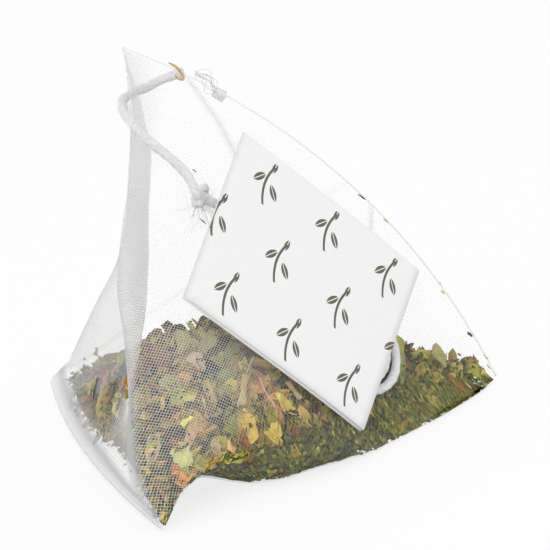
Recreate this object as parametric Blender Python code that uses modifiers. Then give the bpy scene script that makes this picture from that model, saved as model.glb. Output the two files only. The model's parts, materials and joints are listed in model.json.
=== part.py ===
"""Pyramid tea bag: a four-cornered pouch of sheer woven film with two crossed
welded seams, a filling of cut leaf, a string with a knot, and a folded tag."""
import math

import bmesh
import bpy
import numpy as np
from mathutils import Matrix

MM = 0.001

# Pouch, all in metres. The film tube is about 60 mm wide when it lies flat.
TOP_SEAM = 58.6 * MM      # straight length of the upper seam
FOOT_SEAM = 60.0 * MM     # straight length of the lower seam
SEAM_APART = 36.2 * MM    # from the middle of one seam to the middle of the other
HEADING = 6.2             # degrees the pouch is turned on the floor
SKEW = 7.5                # degrees the two seams are off square
TOP_BOW = 5.4 * MM        # the upper seam bulges outward
FOOT_BOW = 2.0 * MM
WALL = 0.25 * MM
LIP = 0.56 * MM           # both layers together at a weld
FIN = 0.8 * MM            # width of the weld
SIDE_CELLS = 10           # faces along each of the four sides
LONG_CELLS = 24           # faces from seam to seam
GAP_SHARE = 0.62          # open part of a cell that has a gap
GAP_EVERY = 4             # one cell in four has a gap, in every other row
LAP = 0.25 * MM           # height of the lap weld down the back

# Filling
CLEAR = 0.35 * MM
BED_SIDE = 3.2 * MM       # the fine filling keeps this far inside the pouch
BED_FLOOR = 0.9 * MM
BED_TOP = 14.0 * MM
BED_LUMP = 0.9 * MM
LEAF_DEPTH = 0.95 * MM    # the large leaves lie this far inside the pouch
LEAF_THICK = 0.4 * MM

# String and tag
STRING = 1.1 * MM         # diameter
KNOT = 3.0 * MM
TAG_LONG = 27.0 * MM
TAG_WIDE = 22.7 * MM
TAG_PAPER = 0.3 * MM
TAG_SPLIT = 0.35 * MM     # between the two leaves of the folded tag
HANK_LONG = 22.0 * MM
HANK_WIDE = 9.9 * MM
HANK_THICK = 1.2 * MM

SIZE = FOOT_SEAM / 60.0   # what one millimetre of the studied bag measures here

# Places in studied millimetres: along the seam, down the front, off the front.
TAG_AT = (29.9, 11.9, 5.4)
TAG_LEAN = (0.992, -0.113, -0.057)
TAG_TIP = 0.024
HANK_AT = (3.5, 1.6)      # along and across the tag, from its middle

# Hand-chosen points in studied millimetres from the upper left tip.
STRING_ROUTE = ((6.1, 2.2, -4.1), (4.8, 2.6, -4.4), (3.4, 3.1, -4.8), (1.7, 4.0, -5.5),
                (0.2, 4.8, -6.0), (-1.1, 4.2, -6.2), (-1.7, 2.4, -6.2), (-1.7, 0.2, -6.2),
                (-1.6, -2.2, -6.2), (-1.4, -4.1, -6.3), (-0.7, -5.6, -6.8), (0.4, -6.4, -7.9),
                (1.6, -6.5, -9.5), (2.8, -6.6, -10.8), (4.2, -6.8, -12.4), (5.1, -7.3, -13.7))
TAIL_ROUTE = ((7.5, 2.0, -4.4), (8.3, 2.2, -5.1), (8.8, 2.5, -5.9), (9.3, 2.9, -7.0))
KNOT_AT = (6.1, -8.5, -15.7)

# Name, look, place on the pouch, turn in degrees, length, width, tip, curl.
LEAVES = (
    ("leaf_pale_round", "pale", 0.55, 0.833, 20, 3.2, 2.5, 0.1, 0.1),
    ("leaf_tan_curled", "tan", 0.2, 0.83, 80, 3.8, 1.4, 0.4, 0.2),
    ("leaf_rust_low", "orange", 0.9, 0.63, 10, 2.6, 1.6, 0.3, 0.1),
    ("stalk_tan_long", "tan", 0.72, 0.646, 70, 3.6, 0.6, 0.0, 0.0),
    ("stalk_tan_short", "tan", 0.9, 0.57, 30, 2.0, 0.55, 0.0, 0.0),
    ("leaf_olive_long", "olive", 0.93, 0.25, 60, 4.0, 1.5, 0.5, 0.1),
    ("leaf_khaki_right", "khaki", 0.9, 0.15, 15, 3.2, 1.7, 0.2, 0.1),
    ("leaf_red_right", "red", 0.8, 0.2, 50, 2.2, 1.2, 0.3, 0.1),
    ("leaf_brown_right", "brown", 0.84, 0.32, 20, 2.6, 1.6, 0.3, 0.1),
    ("leaf_khaki_top_a", "khaki", 0.3, 0.562, 75, 3.2, 1.7, 0.5, 0.1),
    ("leaf_khaki_top_b", "khaki", 0.42, 0.545, 95, 2.8, 1.6, 0.3, 0.1),
    ("leaf_brown_top_c", "brown", 0.19, 0.605, 60, 2.8, 1.5, 0.4, 0.1),
    ("leaf_olive_top_d", "olive", 0.54, 0.545, 80, 2.8, 1.6, 0.4, 0.1),
    ("leaf_tan_mid_e", "tan", 0.4, 0.625, 20, 2.8, 1.7, 0.3, 0.1),
    ("leaf_olive_mid_f", "olive", 0.58, 0.632, 120, 2.6, 1.7, 0.3, 0.1),
    ("leaf_khaki_mid_g", "khaki", 0.28, 0.688, 30, 3.0, 1.8, 0.3, 0.1),
    ("leaf_brown_mid_h", "brown", 0.53, 0.71, 10, 2.8, 1.8, 0.2, 0.1),
    ("leaf_olive_mid_i", "olive", 0.76, 0.715, 45, 2.6, 1.6, 0.3, 0.1),
    ("leaf_tan_low_j", "tan", 0.82, 0.79, 60, 2.4, 1.3, 0.3, 0.1),
    ("leaf_dark_low_k", "dark", 0.25, 0.748, 15, 2.4, 1.3, 0.3, 0.1),
    ("leaf_pale_left", "pale", 3.6, 0.844, 70, 2.6, 1.8, 0.2, 0.1),
    ("leaf_orange_left", "orange", 3.45, 0.833, 20, 2.4, 1.4, 0.3, 0.1),
    ("leaf_brown_left", "brown", 3.3, 0.87, 130, 2.8, 1.6, 0.3, 0.1),
    ("leaf_khaki_left", "khaki", 3.5, 0.771, 90, 2.8, 1.6, 0.3, 0.1),
    ("stalk_dark_left", "dark", 3.38, 0.8, 50, 3.0, 0.6, 0.0, 0.0),
    ("leaf_olive_back_a", "olive", 2.25, 0.3, 20, 3.4, 1.9, 0.3, 0.1),
    ("leaf_tan_back_b", "tan", 2.3, 0.45, 100, 3.2, 1.8, 0.3, 0.1),
    ("leaf_khaki_back_c", "khaki", 2.4, 0.58, 40, 3.4, 2.0, 0.3, 0.1),
    ("leaf_brown_back_d", "brown", 2.5, 0.72, 80, 3.0, 1.7, 0.3, 0.1),
)

# How far each of the four folds leaves the straight line between its corners,
# from the upper seam to the foot, in studied millimetres.
FOLD_STEPS = (0.0, 0.12, 0.26, 0.38, 0.5, 0.62, 0.74, 0.86, 0.94, 1.0)
FOLD_FRONT_LEFT = ((0, 0), (-0.3, 0), (-0.9, 0), (-2.4, 0), (-3.4, 0), (-2.9, 0), (-2.6, 0),
                   (-2.4, 0), (-1.4, 0), (0, 0))
FOLD_BACK_LEFT = ((0, 0), (1.8, 0), (2.8, 0), (3.7, 0), (4.6, 0), (4.6, 0), (3.3, 0),
                  (2.2, 0), (1.5, 0), (0, 0))
FOLD_FRONT_RIGHT = ((0, 0), (0, 1.3), (0, 3.0), (0, 4.9), (0, 6.6), (0, 7.3), (0, 5.2),
                    (0, 3.9), (0, 2.3), (0, 0))
FOLD_BACK_RIGHT = ((0, 0), (0, 0.8), (0, 1.6), (0, 2.2), (0, 2.4), (0, 2.2), (0, 1.6),
                   (0, 0.9), (0, 0.4), (0, 0))


def unit(degrees):
    a = math.radians(degrees)
    return np.array([math.cos(a), math.sin(a), 0.0])


def corners():
    """The four tips: upper left, right, front and back left."""
    reach = math.hypot(TOP_SEAM / 2, SEAM_APART)
    along = (SEAM_APART ** 2 - (TOP_SEAM / 2) ** 2) / reach
    height = TOP_SEAM * SEAM_APART / reach
    go = unit(HEADING)
    across = unit(HEADING - 90 + SKEW)
    foot = np.array([-19.6 * SIZE, 0.0, 0.0])
    top = foot + go * along + np.array([0.0, 0.0, height])
    return top, foot + go * reach, foot + across * FOOT_SEAM / 2, foot - across * FOOT_SEAM / 2, foot


def eased(steps, values, at):
    """A smooth curve through hand-chosen values."""
    steps = np.asarray(steps, float)
    values = np.asarray(values, float)
    slope = np.gradient(values, steps, axis=0)
    i = np.clip(np.searchsorted(steps, at, side="right") - 1, 0, len(steps) - 2)
    span = (steps[i + 1] - steps[i])
    u = ((at - steps[i]) / span)[:, None]
    span = span[:, None]
    a, b, ma, mb = values[i], values[i + 1], slope[i] * span, slope[i + 1] * span
    return ((2 * u ** 3 - 3 * u ** 2 + 1) * a + (u ** 3 - 2 * u ** 2 + u) * ma
            + (3 * u ** 2 - 2 * u ** 3) * b + (u ** 3 - u ** 2) * mb)


def film(side_cells, long_cells):
    """The outside of the pouch: rings from the upper seam to the foot, each
    running front, bottom, back, left. Returns (rings, 4 * side_cells, 3)."""
    fine = 40
    top, right, front, back, foot = corners()
    v = np.linspace(0, 1, long_cells + 1)
    folds = []
    for a, b, moves in ((top, front, FOLD_FRONT_LEFT), (right, front, FOLD_FRONT_RIGHT),
                        (right, back, FOLD_BACK_RIGHT), (top, back, FOLD_BACK_LEFT)):
        away = eased(FOLD_STEPS, moves, v) * SIZE
        line = a + (b - a) * v[:, None]
        line[:, 0] += away[:, 0]
        line[:, 2] += away[:, 1]
        folds.append(line)
    t = np.arange(fine) / fine
    mid = 4 * t * (1 - t)
    middle = (top + right) / 2
    rise = (middle - foot) / np.linalg.norm(middle - foot)
    face = np.cross(front - top, right - top)
    face /= np.linalg.norm(face)
    rear = np.cross(right - top, back - top)
    rear /= np.linalg.norm(rear)
    go = unit(HEADING)
    out = np.array([front[1] - right[1], right[0] - front[0], 0.0])
    out = -out / np.linalg.norm(out)
    sides = []
    for k in range(4):
        a, b = folds[k][:, None, :], folds[(k + 1) % 4][:, None, :]
        sides.append(a + (b - a) * t[None, :, None])
    upper = (1 - v) ** 1.3
    lower = v ** 2.2
    for k in (0, 2):
        sides[k] += rise * (TOP_BOW * upper[:, None, None] * mid[None, :, None])
    for k in (1, 3):
        sides[k] -= go * (FOOT_BOW * lower[:, None, None] * mid[None, :, None])
    fat = np.sin(math.pi * v) ** 0.8
    sides[0] += face * (0.5 * SIZE * (fat * (0.35 + 0.65 * v))[:, None, None] * mid[None, :, None])
    sides[2] += rear * (1.2 * SIZE * (fat * (0.3 + 0.7 * v))[:, None, None] * mid[None, :, None])
    # The filling pushes the bottom out past its front fold and flat on the floor.
    near = np.exp(-((t - 0.13) / 0.14) ** 2) * np.minimum(1, t / 0.1)
    push = np.interp(v, (0, 0.1, 0.3, 0.5, 0.62, 0.72, 0.8, 0.9, 1),
                     (0, 3.6, 7.0, 8.2, 7.8, 5.8, 2.4, -1.2, 0))
    sides[1] += out * (SIZE * push[:, None, None] * near[None, :, None])
    sag = np.interp(v, (0, 0.1, 0.5, 0.78, 0.9, 1), (0, 2.0, 9.0, 5.5, 0.6, 0))
    drop = np.minimum(1, t / 0.16) * np.minimum(1, (1 - t) / 0.1)
    sides[1][:, :, 2] -= SIZE * sag[:, None] * drop[None, :]
    # The left side has room to spare and falls in along a crease.
    crease = np.where(t < 0.66, t / 0.66, (1 - t) / 0.34)
    crease = crease ** 1.15
    dip = np.interp(v, (0, 0.1, 0.26, 0.5, 0.75, 0.9, 1), (0, 1.4, 3.3, 4.6, 3.6, 1.0, 0))
    lean = np.array([1.0, -0.1, 0.0])
    sides[3] += lean * (SIZE * dip[:, None, None] * crease[None, :, None])
    rings = np.concatenate(sides, axis=1)
    # Folds are sharp at the seams and round between them.
    soft = rings.copy()
    for _ in range(26):
        soft = (np.roll(soft, 1, 1) + 2 * soft + np.roll(soft, -1, 1)) / 4
    s = np.arange(4 * fine) / fine
    by_front_right = np.exp(-((np.minimum(abs(s - 1), 4 - abs(s - 1))) / 0.5) ** 2)
    share = 0.45 + 0.55 * by_front_right
    blend = share[None, :] * (np.sin(math.pi * np.clip(v, 0, 1)) ** 0.6)[:, None]
    rings = rings + (soft - rings) * blend[:, :, None]
    # At both seams the two layers close to a thin lip with round ends.
    plate_top = face - rear
    plate_top /= np.linalg.norm(plate_top)
    plate_foot = np.array([0.0, 0.0, 1.0])
    half = LIP / 2
    to_right = (right - top) / TOP_SEAM
    to_front = (front - back) / FOOT_SEAM
    lip = np.zeros((2, 4 * fine, 3))
    for k in range(4 * fine):
        side = k // fine
        turn = math.pi * (k % fine) / fine
        flat, tip = half * math.cos(turn), half * math.sin(turn)
        if side == 0:
            lip[0, k] = plate_top * half
            lip[1, k] = plate_foot * flat + to_front * tip
        elif side == 1:
            lip[0, k] = plate_top * flat + to_right * tip
            lip[1, k] = -plate_foot * half
        elif side == 2:
            lip[0, k] = -plate_top * half
            lip[1, k] = -plate_foot * flat - to_front * tip
        else:
            lip[0, k] = -plate_top * flat - to_right * tip
            lip[1, k] = plate_foot * half
    near_top = np.clip(1 - v / 0.12, 0, 1)[:, None, None]
    near_foot = np.clip(1 - (1 - v) / 0.12, 0, 1)[:, None, None]
    rings = rings + lip[0][None] * near_top + (lip[1][None] + plate_foot * LIP / 2) * near_foot
    keep = np.arange(0, 4 * fine, fine // side_cells)
    rings = rings[:, keep]
    rings[:, :, 2] = np.maximum(rings[:, :, 2], 0.0)
    return rings


def normals(rings):
    around = np.roll(rings, -1, 1) - np.roll(rings, 1, 1)
    along = np.gradient(rings, axis=0)
    n = np.cross(along, around)
    return n / np.maximum(np.linalg.norm(n, axis=2, keepdims=True), 1e-12)


def clear_scene():
    for item in list(bpy.data.objects):
        bpy.data.objects.remove(item, do_unlink=True)
    for group in list(bpy.data.collections):
        bpy.data.collections.remove(group)


def material(name, colour, roughness, metallic=0.0):
    made = bpy.data.materials.new(name)
    made.use_nodes = True
    shader = made.node_tree.nodes["Principled BSDF"]
    shader.inputs["Base Color"].default_value = (*colour, 1.0)
    shader.inputs["Roughness"].default_value = roughness
    shader.inputs["Metallic"].default_value = metallic
    return made


def put(name, verts, faces, look, smooth=False, closed=True):
    mesh = bpy.data.meshes.new(name)
    mesh.from_pydata([tuple(p) for p in verts], [], [tuple(f) for f in faces])
    mesh.update()
    shell = bmesh.new()
    shell.from_mesh(mesh)
    bmesh.ops.recalc_face_normals(shell, faces=shell.faces)
    if shell.calc_volume(signed=True) < 0 and closed:
        bmesh.ops.reverse_faces(shell, faces=shell.faces)
    shell.to_mesh(mesh)
    shell.free()
    mesh.materials.append(look)
    for face in mesh.polygons:
        face.use_smooth = smooth
    item = bpy.data.objects.new(name, mesh)
    HOME.objects.link(item)
    return item


def ring_faces(rows, count):
    faces = []
    for j in range(rows - 1):
        for i in range(count):
            a = j * count + i
            b = j * count + (i + 1) % count
            faces.append((a, b, b + count, a + count))
    return faces


def seam_cap(first, n, long_side):
    """Closes a thin ring: a strip between its long sides, a face at each end."""
    faces = []
    a0 = long_side * n
    b0 = (long_side + 2) * n
    total = 4 * n
    for i in range(n):
        p = first + (a0 + i) % total
        q = first + (a0 + i + 1) % total
        r = first + (b0 + n - i - 1) % total
        s = first + (b0 + n - i) % total
        faces.append((p, q, r, s))
    end_one = [first + (a0 + n + i) % total for i in range(n + 1)]
    end_two = [first + (b0 + n + i) % total for i in range(n + 1)]
    faces.append(tuple(end_one))
    faces.append(tuple(end_two))
    return faces


def section(ring, n, a, b):
    """A point inside a ring of four sides: a runs along the front, b inward."""
    def along(side, t):
        x = np.clip(t, 0, 1) * n
        i = np.minimum(np.floor(x).astype(int), n - 1)
        f = (x - i)[:, None]
        p = ring[(side * n + i) % (4 * n)]
        return p + (ring[(side * n + i + 1) % (4 * n)] - p) * f
    tips = [ring[k * n] for k in range(4)]
    u, w = a[:, None], b[:, None]
    made = (1 - w) * along(0, a) + w * along(2, 1 - a)
    made += (1 - u) * along(3, 1 - b) + u * along(1, b)
    made -= (1 - u) * (1 - w) * tips[0] + u * (1 - w) * tips[1]
    made -= u * w * tips[2] + (1 - u) * w * tips[3]
    return made


def grid_cap(verts, first, ring, n):
    """Closes a ring of four sides with a grid laid between them."""
    total = 4 * n
    at = {}
    for i in range(n + 1):
        at[(i, 0)] = first + i % total
        at[(n, i)] = first + (n + i) % total
        at[(n - i, n)] = first + (2 * n + i) % total
        at[(0, n - i)] = first + (3 * n + i) % total
    for i in range(1, n):
        for k in range(1, n):
            at[(i, k)] = len(verts)
            verts.append(tuple(section(ring, n, np.array([i / n]), np.array([k / n]))[0]))
    return [(at[i, k], at[i + 1, k], at[i + 1, k + 1], at[i, k + 1])
            for i in range(n) for k in range(n)]


def make_pouch(look):
    n, m = SIDE_CELLS, LONG_CELLS
    total = 4 * n
    outer = film(n, m)
    out = normals(outer)
    inside = outer - out * WALL
    inside[:, :, 2] = np.maximum(inside[:, :, 2], WALL)
    # The tube's own lap weld stands up a little down the back.
    outer[1:-1, 2 * n + n // 2] += out[1:-1, 2 * n + n // 2] * LAP
    first_in, last_in = 2, m - 2
    top, right, front, back, foot = corners()
    rise = (top + right) / 2 - foot
    rise /= np.linalg.norm(rise)
    fin_top = outer[0] + rise * FIN
    fin_foot = outer[-1] - unit(HEADING) * FIN
    rows = np.concatenate([fin_top[None], outer, fin_foot[None]])
    verts = [tuple(p) for p in rows.reshape(-1, 3)]
    inner_rows = inside[first_in:last_in + 1]
    inner_first = len(verts)
    verts += [tuple(p) for p in inner_rows.reshape(-1, 3)]
    holes = []
    for j in range(first_in + 1, last_in - 1):
        for i in range(total):
            if j % 2 == 1 and i % GAP_EVERY == (j // 2 * 2 + 1) % GAP_EVERY:
                holes.append((j, i))
    open_cells = set(holes)
    faces = []
    out_rows = len(rows)
    for j in range(out_rows - 1):
        for i in range(total):
            a = j * total + i
            b = j * total + (i + 1) % total
            if (j - 1, i) not in open_cells:
                faces.append((a, b, b + total, a + total))
    for j in range(first_in, last_in):
        for i in range(total):
            if (j, i) in open_cells:
                continue
            a = inner_first + (j - first_in) * total + i
            b = inner_first + (j - first_in) * total + (i + 1) % total
            faces.append((a + total, b + total, b, a))
    for j, i in holes:
        o = [(j + 1) * total + i, (j + 1) * total + (i + 1) % total]
        o += [o[1] + total, o[0] + total]
        base = inner_first + (j - first_in) * total
        q = [base + i, base + (i + 1) % total]
        q += [q[1] + total, q[0] + total]
        new = []
        for ring in (o, q):
            pts = np.array([verts[k] for k in ring])
            mid = pts.mean(axis=0)
            start = len(verts)
            verts += [tuple(mid + (p - mid) * GAP_SHARE) for p in pts]
            new.append([start + k for k in range(4)])
        for k in range(4):
            h = (k + 1) % 4
            faces.append((o[k], o[h], new[0][h], new[0][k]))
            faces.append((q[h], q[k], new[1][k], new[1][h]))
            faces.append((new[0][k], new[0][h], new[1][h], new[1][k]))
    faces += seam_cap(0, n, 0)
    faces += seam_cap((out_rows - 1) * total, n, 1)
    faces += grid_cap(verts, inner_first, inner_rows[0], n)
    faces += grid_cap(verts, inner_first + (last_in - first_in) * total, inner_rows[-1], n)
    return put("pouch", verts, faces, look)


def make_filling(look):
    """The fine filling: the inside of the pouch, kept clear of it, cut off by a
    lumpy top."""
    n = 8
    rings = film(n, 40)
    rows = []
    for j in range(6, 36):
        ring = rings[j]
        tips = [ring[k * n] for k in range(4)]
        middle = sum(tips) / 4
        run = (tips[1] + tips[2] - tips[0] - tips[3]) / 2
        deep = (tips[2] + tips[3] - tips[0] - tips[1]) / 2
        plane = np.cross(run, deep)
        plane /= np.linalg.norm(plane)
        back = np.linalg.inv(np.stack([run, deep, plane], 1))
        local = (ring - middle) @ back.T
        across = 1 - 2 * BED_SIDE / np.linalg.norm(deep)
        down = 1 - (BED_SIDE + BED_FLOOR) / np.linalg.norm(run)
        keep = local[:, :1] * down + (0.5 - BED_FLOOR / np.linalg.norm(run)) - 0.5 * down
        rows.append(middle + keep * run + local[:, 1:2] * across * deep + local[:, 2:] * plane)
    rows = np.array(rows)
    rows[:, :, 2] = np.maximum(rows[:, :, 2], WALL + CLEAR)
    verts = [tuple(p) for p in rows.reshape(-1, 3)]
    faces = ring_faces(len(rows), 4 * n)
    faces += grid_cap(verts, 0, rows[0], n)
    faces += grid_cap(verts, (len(rows) - 1) * 4 * n, rows[-1], n)
    bed = put("fine_filling", verts, faces, look)
    # The cutter is a block whose underside is the lumpy top of the filling.
    count = 34
    xs = np.linspace(-40 * SIZE, 40 * SIZE, count)
    x, y = np.meshgrid(xs, xs, indexing="ij")
    x, y = x / SIZE, y / SIZE
    lumps = np.sin(x * 0.83 + 1.7) * np.sin(y * 0.71 + 0.4)
    lumps += 0.6 * np.sin(x * 1.1 + y * 1.3) * np.cos(y * 1.2)
    heap = BED_TOP / SIZE - 0.22 * np.maximum(0, x + 6) - 0.45 * np.maximum(0, -x - 11)
    heap -= 0.2 * np.maximum(0, y + 12)
    low = np.maximum(heap, 3.0) * SIZE + BED_LUMP * lumps
    under = np.stack([x * SIZE, y * SIZE, low], 2).reshape(-1, 3)
    over = np.stack([x * SIZE, y * SIZE, np.full_like(low, 70 * SIZE)], 2).reshape(-1, 3)
    verts = [tuple(p) for p in np.concatenate([under, over])]
    faces = []
    half = count * count
    for i in range(count - 1):
        for k in range(count - 1):
            q = i * count + k
            faces.append((q, q + 1, q + count + 1, q + count))
            faces.append((half + q, half + q + count, half + q + count + 1, half + q + 1))
    rim = [i * count for i in range(count)] + [(count - 1) * count + k for k in range(1, count)]
    rim += [i * count + count - 1 for i in range(count - 2, -1, -1)] + [k for k in range(count - 2, 0, -1)]
    for p, q in zip(rim, rim[1:] + rim[:1]):
        faces.append((p, q, half + q, half + p))
    cutter = put("filling_cutter", verts, faces, look)
    HOME.objects.unlink(cutter)
    CUTTERS.objects.link(cutter)
    cutter.hide_render = True
    cutter.display_type = "WIRE"
    cut = bed.modifiers.new("top", "BOOLEAN")
    cut.operation = "DIFFERENCE"
    cut.solver = "EXACT"
    cut.object = cutter
    return bed


class Skin:
    """Points on and under the pouch by side, 0 to 4, and by v, 0 to 1."""

    def __init__(self):
        self.rings = film(20, 96)
        self.out = normals(self.rings)

    def at(self, s, v, depth=0.0):
        x = (s % 4) * 20
        y = min(max(v, 0), 1) * 96
        i, j = int(x) % 80, min(int(y), 95)
        f, g = x - int(x), y - j
        k = (i + 1) % 80

        def mix(field):
            near = field[j, i] * (1 - f) + field[j, k] * f
            far = field[j + 1, i] * (1 - f) + field[j + 1, k] * f
            return near * (1 - g) + far * g
        return mix(self.rings) - mix(self.out) * depth


def make_leaf(name, look, s, v, turn, long, wide, tip, curl):
    """A cut leaf that lies along the inside of the pouch, blunt at one end and
    more pointed at the other as tip grows, hollowed by curl."""
    steps, rows = 7, 3
    around = (SKIN.at(s + 0.02, v) - SKIN.at(s - 0.02, v)) / 0.04
    along = (SKIN.at(s, v + 0.01) - SKIN.at(s, v - 0.01)) / 0.02
    normal = np.cross(along, around)
    normal /= np.linalg.norm(normal)
    ex = around / np.linalg.norm(around)
    ey = np.cross(normal, ex)
    back = np.linalg.inv(np.array([[around @ ex, along @ ex], [around @ ey, along @ ey]]))
    angle = math.radians(turn)
    verts, faces = [], []
    for i in range(steps):
        p = i / (steps - 1)
        body = math.sin(math.pi * min(0.96, 0.12 + 0.86 * p ** (1 / (1 + tip)))) ** 0.7
        body *= 1.05 if i % 2 else 0.92
        for k in range(rows):
            q = (k / (rows - 1) - 0.5) * body * wide * SIZE
            x = (p - 0.5) * long * SIZE
            ds, dv = back @ np.array([x * math.cos(angle) - q * math.sin(angle),
                                      x * math.sin(angle) + q * math.cos(angle)])
            dip = curl * SIZE * (1 if k == 1 else 0)
            verts.append(tuple(SKIN.at(s + ds, v + dv, LEAF_DEPTH + dip)))
    for i in range(steps - 1):
        for k in range(rows - 1):
            a = i * rows + k
            faces.append((a, a + 1, a + rows + 1, a + rows))
    leaf = put(name, verts, faces, look, closed=False)
    thick = leaf.modifiers.new("thickness", "SOLIDIFY")
    thick.thickness = LEAF_THICK
    thick.offset = 0.0
    return leaf


def smooth_route(points, gap):
    """Points at even spacing along a smooth curve through hand-chosen ones."""
    points = np.array(points, float)
    padded = np.concatenate([points[:1] * 2 - points[1:2], points, points[-1:] * 2 - points[-2:-1]])
    fine = []
    for i in range(len(points) - 1):
        p0, p1, p2, p3 = padded[i:i + 4]
        for t in np.linspace(0, 1, 24, endpoint=False):
            fine.append(0.5 * (2 * p1 + (p2 - p0) * t + (2 * p0 - 5 * p1 + 4 * p2 - p3) * t ** 2
                               + (3 * p1 - p0 - 3 * p2 + p3) * t ** 3))
    fine.append(points[-1])
    fine = np.array(fine)
    run = np.concatenate([[0], np.cumsum(np.linalg.norm(np.diff(fine, axis=0), axis=1))])
    count = max(3, int(round(run[-1] / gap)))
    at = np.linspace(0, run[-1], count + 1)
    return np.stack([np.interp(at, run, fine[:, c]) for c in range(3)], 1)


def tube(name, route, diameter, look):
    curve = bpy.data.curves.new(name, "CURVE")
    curve.dimensions = "3D"
    curve.bevel_depth = diameter / 2
    curve.bevel_resolution = 2
    curve.use_fill_caps = True
    line = curve.splines.new("POLY")
    line.points.add(len(route) - 1)
    for point, place in zip(line.points, route):
        point.co = (*place, 1.0)
    curve.materials.append(look)
    item = bpy.data.objects.new(name, curve)
    HOME.objects.link(item)
    return item


def flat_shape(name, outline, thickness, look, frame):
    """A closed flat outline pushed out to both sides and placed by a frame."""
    curve = bpy.data.curves.new(name, "CURVE")
    curve.dimensions = "2D"
    curve.fill_mode = "BOTH"
    curve.extrude = thickness / 2
    line = curve.splines.new("POLY")
    line.points.add(len(outline) - 1)
    for point, (x, y) in zip(line.points, outline):
        point.co = (x, y, 0.0, 1.0)
    line.use_cyclic_u = True
    curve.materials.append(look)
    item = bpy.data.objects.new(name, curve)
    item.matrix_world = frame
    HOME.objects.link(item)
    return item


def frame_of(origin, x_axis, y_axis):
    z_axis = np.cross(x_axis, y_axis)
    rows = [[x_axis[i], y_axis[i], z_axis[i], origin[i]] for i in range(3)]
    return Matrix(rows + [[0.0, 0.0, 0.0, 1.0]])


def tag_frame():
    """Centre of the tag and its three directions, from the front of the pouch."""
    top, right, front, back, foot = corners()
    face = np.cross(right - top, front - top)
    face /= np.linalg.norm(face)
    if face[1] > 0:
        face = -face
    e1 = (right - top) / np.linalg.norm(right - top)
    e2 = np.cross(e1, face)
    if e2 @ (front - top) < 0:
        e2 = -e2
    centre = top + (e1 * TAG_AT[0] + e2 * TAG_AT[1] + face * TAG_AT[2]) * SIZE
    long_way = e1 * TAG_LEAN[0] + e2 * TAG_LEAN[1] + face * TAG_LEAN[2]
    long_way /= np.linalg.norm(long_way)
    off = face - long_way * (face @ long_way) - e2 * TAG_TIP
    off -= long_way * (off @ long_way)
    off /= np.linalg.norm(off)
    wide_way = np.cross(off, long_way)
    if wide_way @ e2 < 0:
        wide_way = -wide_way
    return centre, long_way, wide_way, off


def make_tag(look):
    """One card folded over along its upper edge; the two leaves stand apart."""
    centre, long_way, wide_way, off = tag_frame()
    w, h, gap = TAG_WIDE / 2, TAG_PAPER + TAG_SPLIT / 2, TAG_SPLIT / 2
    outline = [(w, h), (w, gap), (-w + TAG_PAPER, gap), (-w + TAG_PAPER, -gap), (w, -gap), (w, -h)]
    steps = 6
    for i in range(steps + 1):
        a = -math.pi / 2 - math.pi * i / steps
        outline.append((-w + h * 0.5 + h * 0.5 * math.cos(a), h * math.sin(a)))
    flat_shape("tag", outline, TAG_LONG, look, frame_of(centre, wide_way, off))


def make_hank(look):
    """The coiled length of string behind the tag, as one solid."""
    centre, long_way, wide_way, off = tag_frame()
    half = HANK_LONG / 2 - HANK_WIDE / 2
    outline = []
    for i in range(13):
        a = -math.pi / 2 + math.pi * i / 12
        outline.append((half + HANK_WIDE / 2 * math.cos(a), HANK_WIDE / 2 * math.sin(a)))
    outline += [(-x, -y) for x, y in outline]
    down = TAG_PAPER + TAG_SPLIT / 2 + CLEAR + HANK_THICK / 2
    place = centre + (long_way * HANK_AT[0] + wide_way * HANK_AT[1]) * SIZE - off * down
    flat_shape("string_hank", outline, HANK_THICK, look, frame_of(place, long_way, wide_way))
    return place, long_way, wide_way, off


def make_knot(look):
    """A round knot grooved by its turns."""
    place = corners()[0] + np.array(KNOT_AT) * SIZE
    rows, cols = 11, 18
    verts, faces = [], []
    for i in range(1, rows):
        for k in range(cols):
            lat, lon = math.pi * i / rows, 2 * math.pi * k / cols
            r = KNOT / 2 * (1 + 0.1 * math.sin(3 * lon + 5 * lat))
            verts.append((place[0] + r * 0.82 * math.sin(lat) * math.cos(lon),
                          place[1] + r * 0.72 * math.sin(lat) * math.sin(lon),
                          place[2] + r * math.cos(lat)))
    faces += ring_faces(rows - 1, cols)
    for row, z in ((0, 0.5), (rows - 2, -0.5)):
        verts.append((place[0], place[1], place[2] + KNOT * z))
        for k in range(cols):
            faces.append((row * cols + k, row * cols + (k + 1) % cols, len(verts) - 1))
    put("knot", verts, faces, look, smooth=True)
    return place


clear_scene()
HOME = bpy.data.collections.new("pyramid_tea_bag")
CUTTERS = bpy.data.collections.new("cutters")
bpy.context.scene.collection.children.link(HOME)
bpy.context.scene.collection.children.link(CUTTERS)
SKIN = Skin()

film_look = material("sheer_film", (0.88, 0.9, 0.9), 0.5)
cord_look = material("white_thread", (0.86, 0.86, 0.85), 0.8)
card_look = material("pale_card", (0.84, 0.84, 0.84), 0.6)
fine_look = material("fine_green_leaf", (0.13, 0.15, 0.05), 0.9)
looks = {
    "pale": material("pale_leaf", (0.55, 0.56, 0.18), 0.7),
    "khaki": material("khaki_leaf", (0.35, 0.33, 0.12), 0.8),
    "olive": material("olive_leaf", (0.25, 0.27, 0.07), 0.8),
    "tan": material("tan_stalk", (0.5, 0.38, 0.2), 0.7),
    "brown": material("brown_leaf", (0.2, 0.1, 0.04), 0.8),
    "orange": material("orange_leaf", (0.45, 0.2, 0.06), 0.8),
    "dark": material("dark_leaf", (0.06, 0.05, 0.03), 0.85),
    "red": material("dark_red_leaf", (0.16, 0.05, 0.05), 0.8),
}

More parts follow.
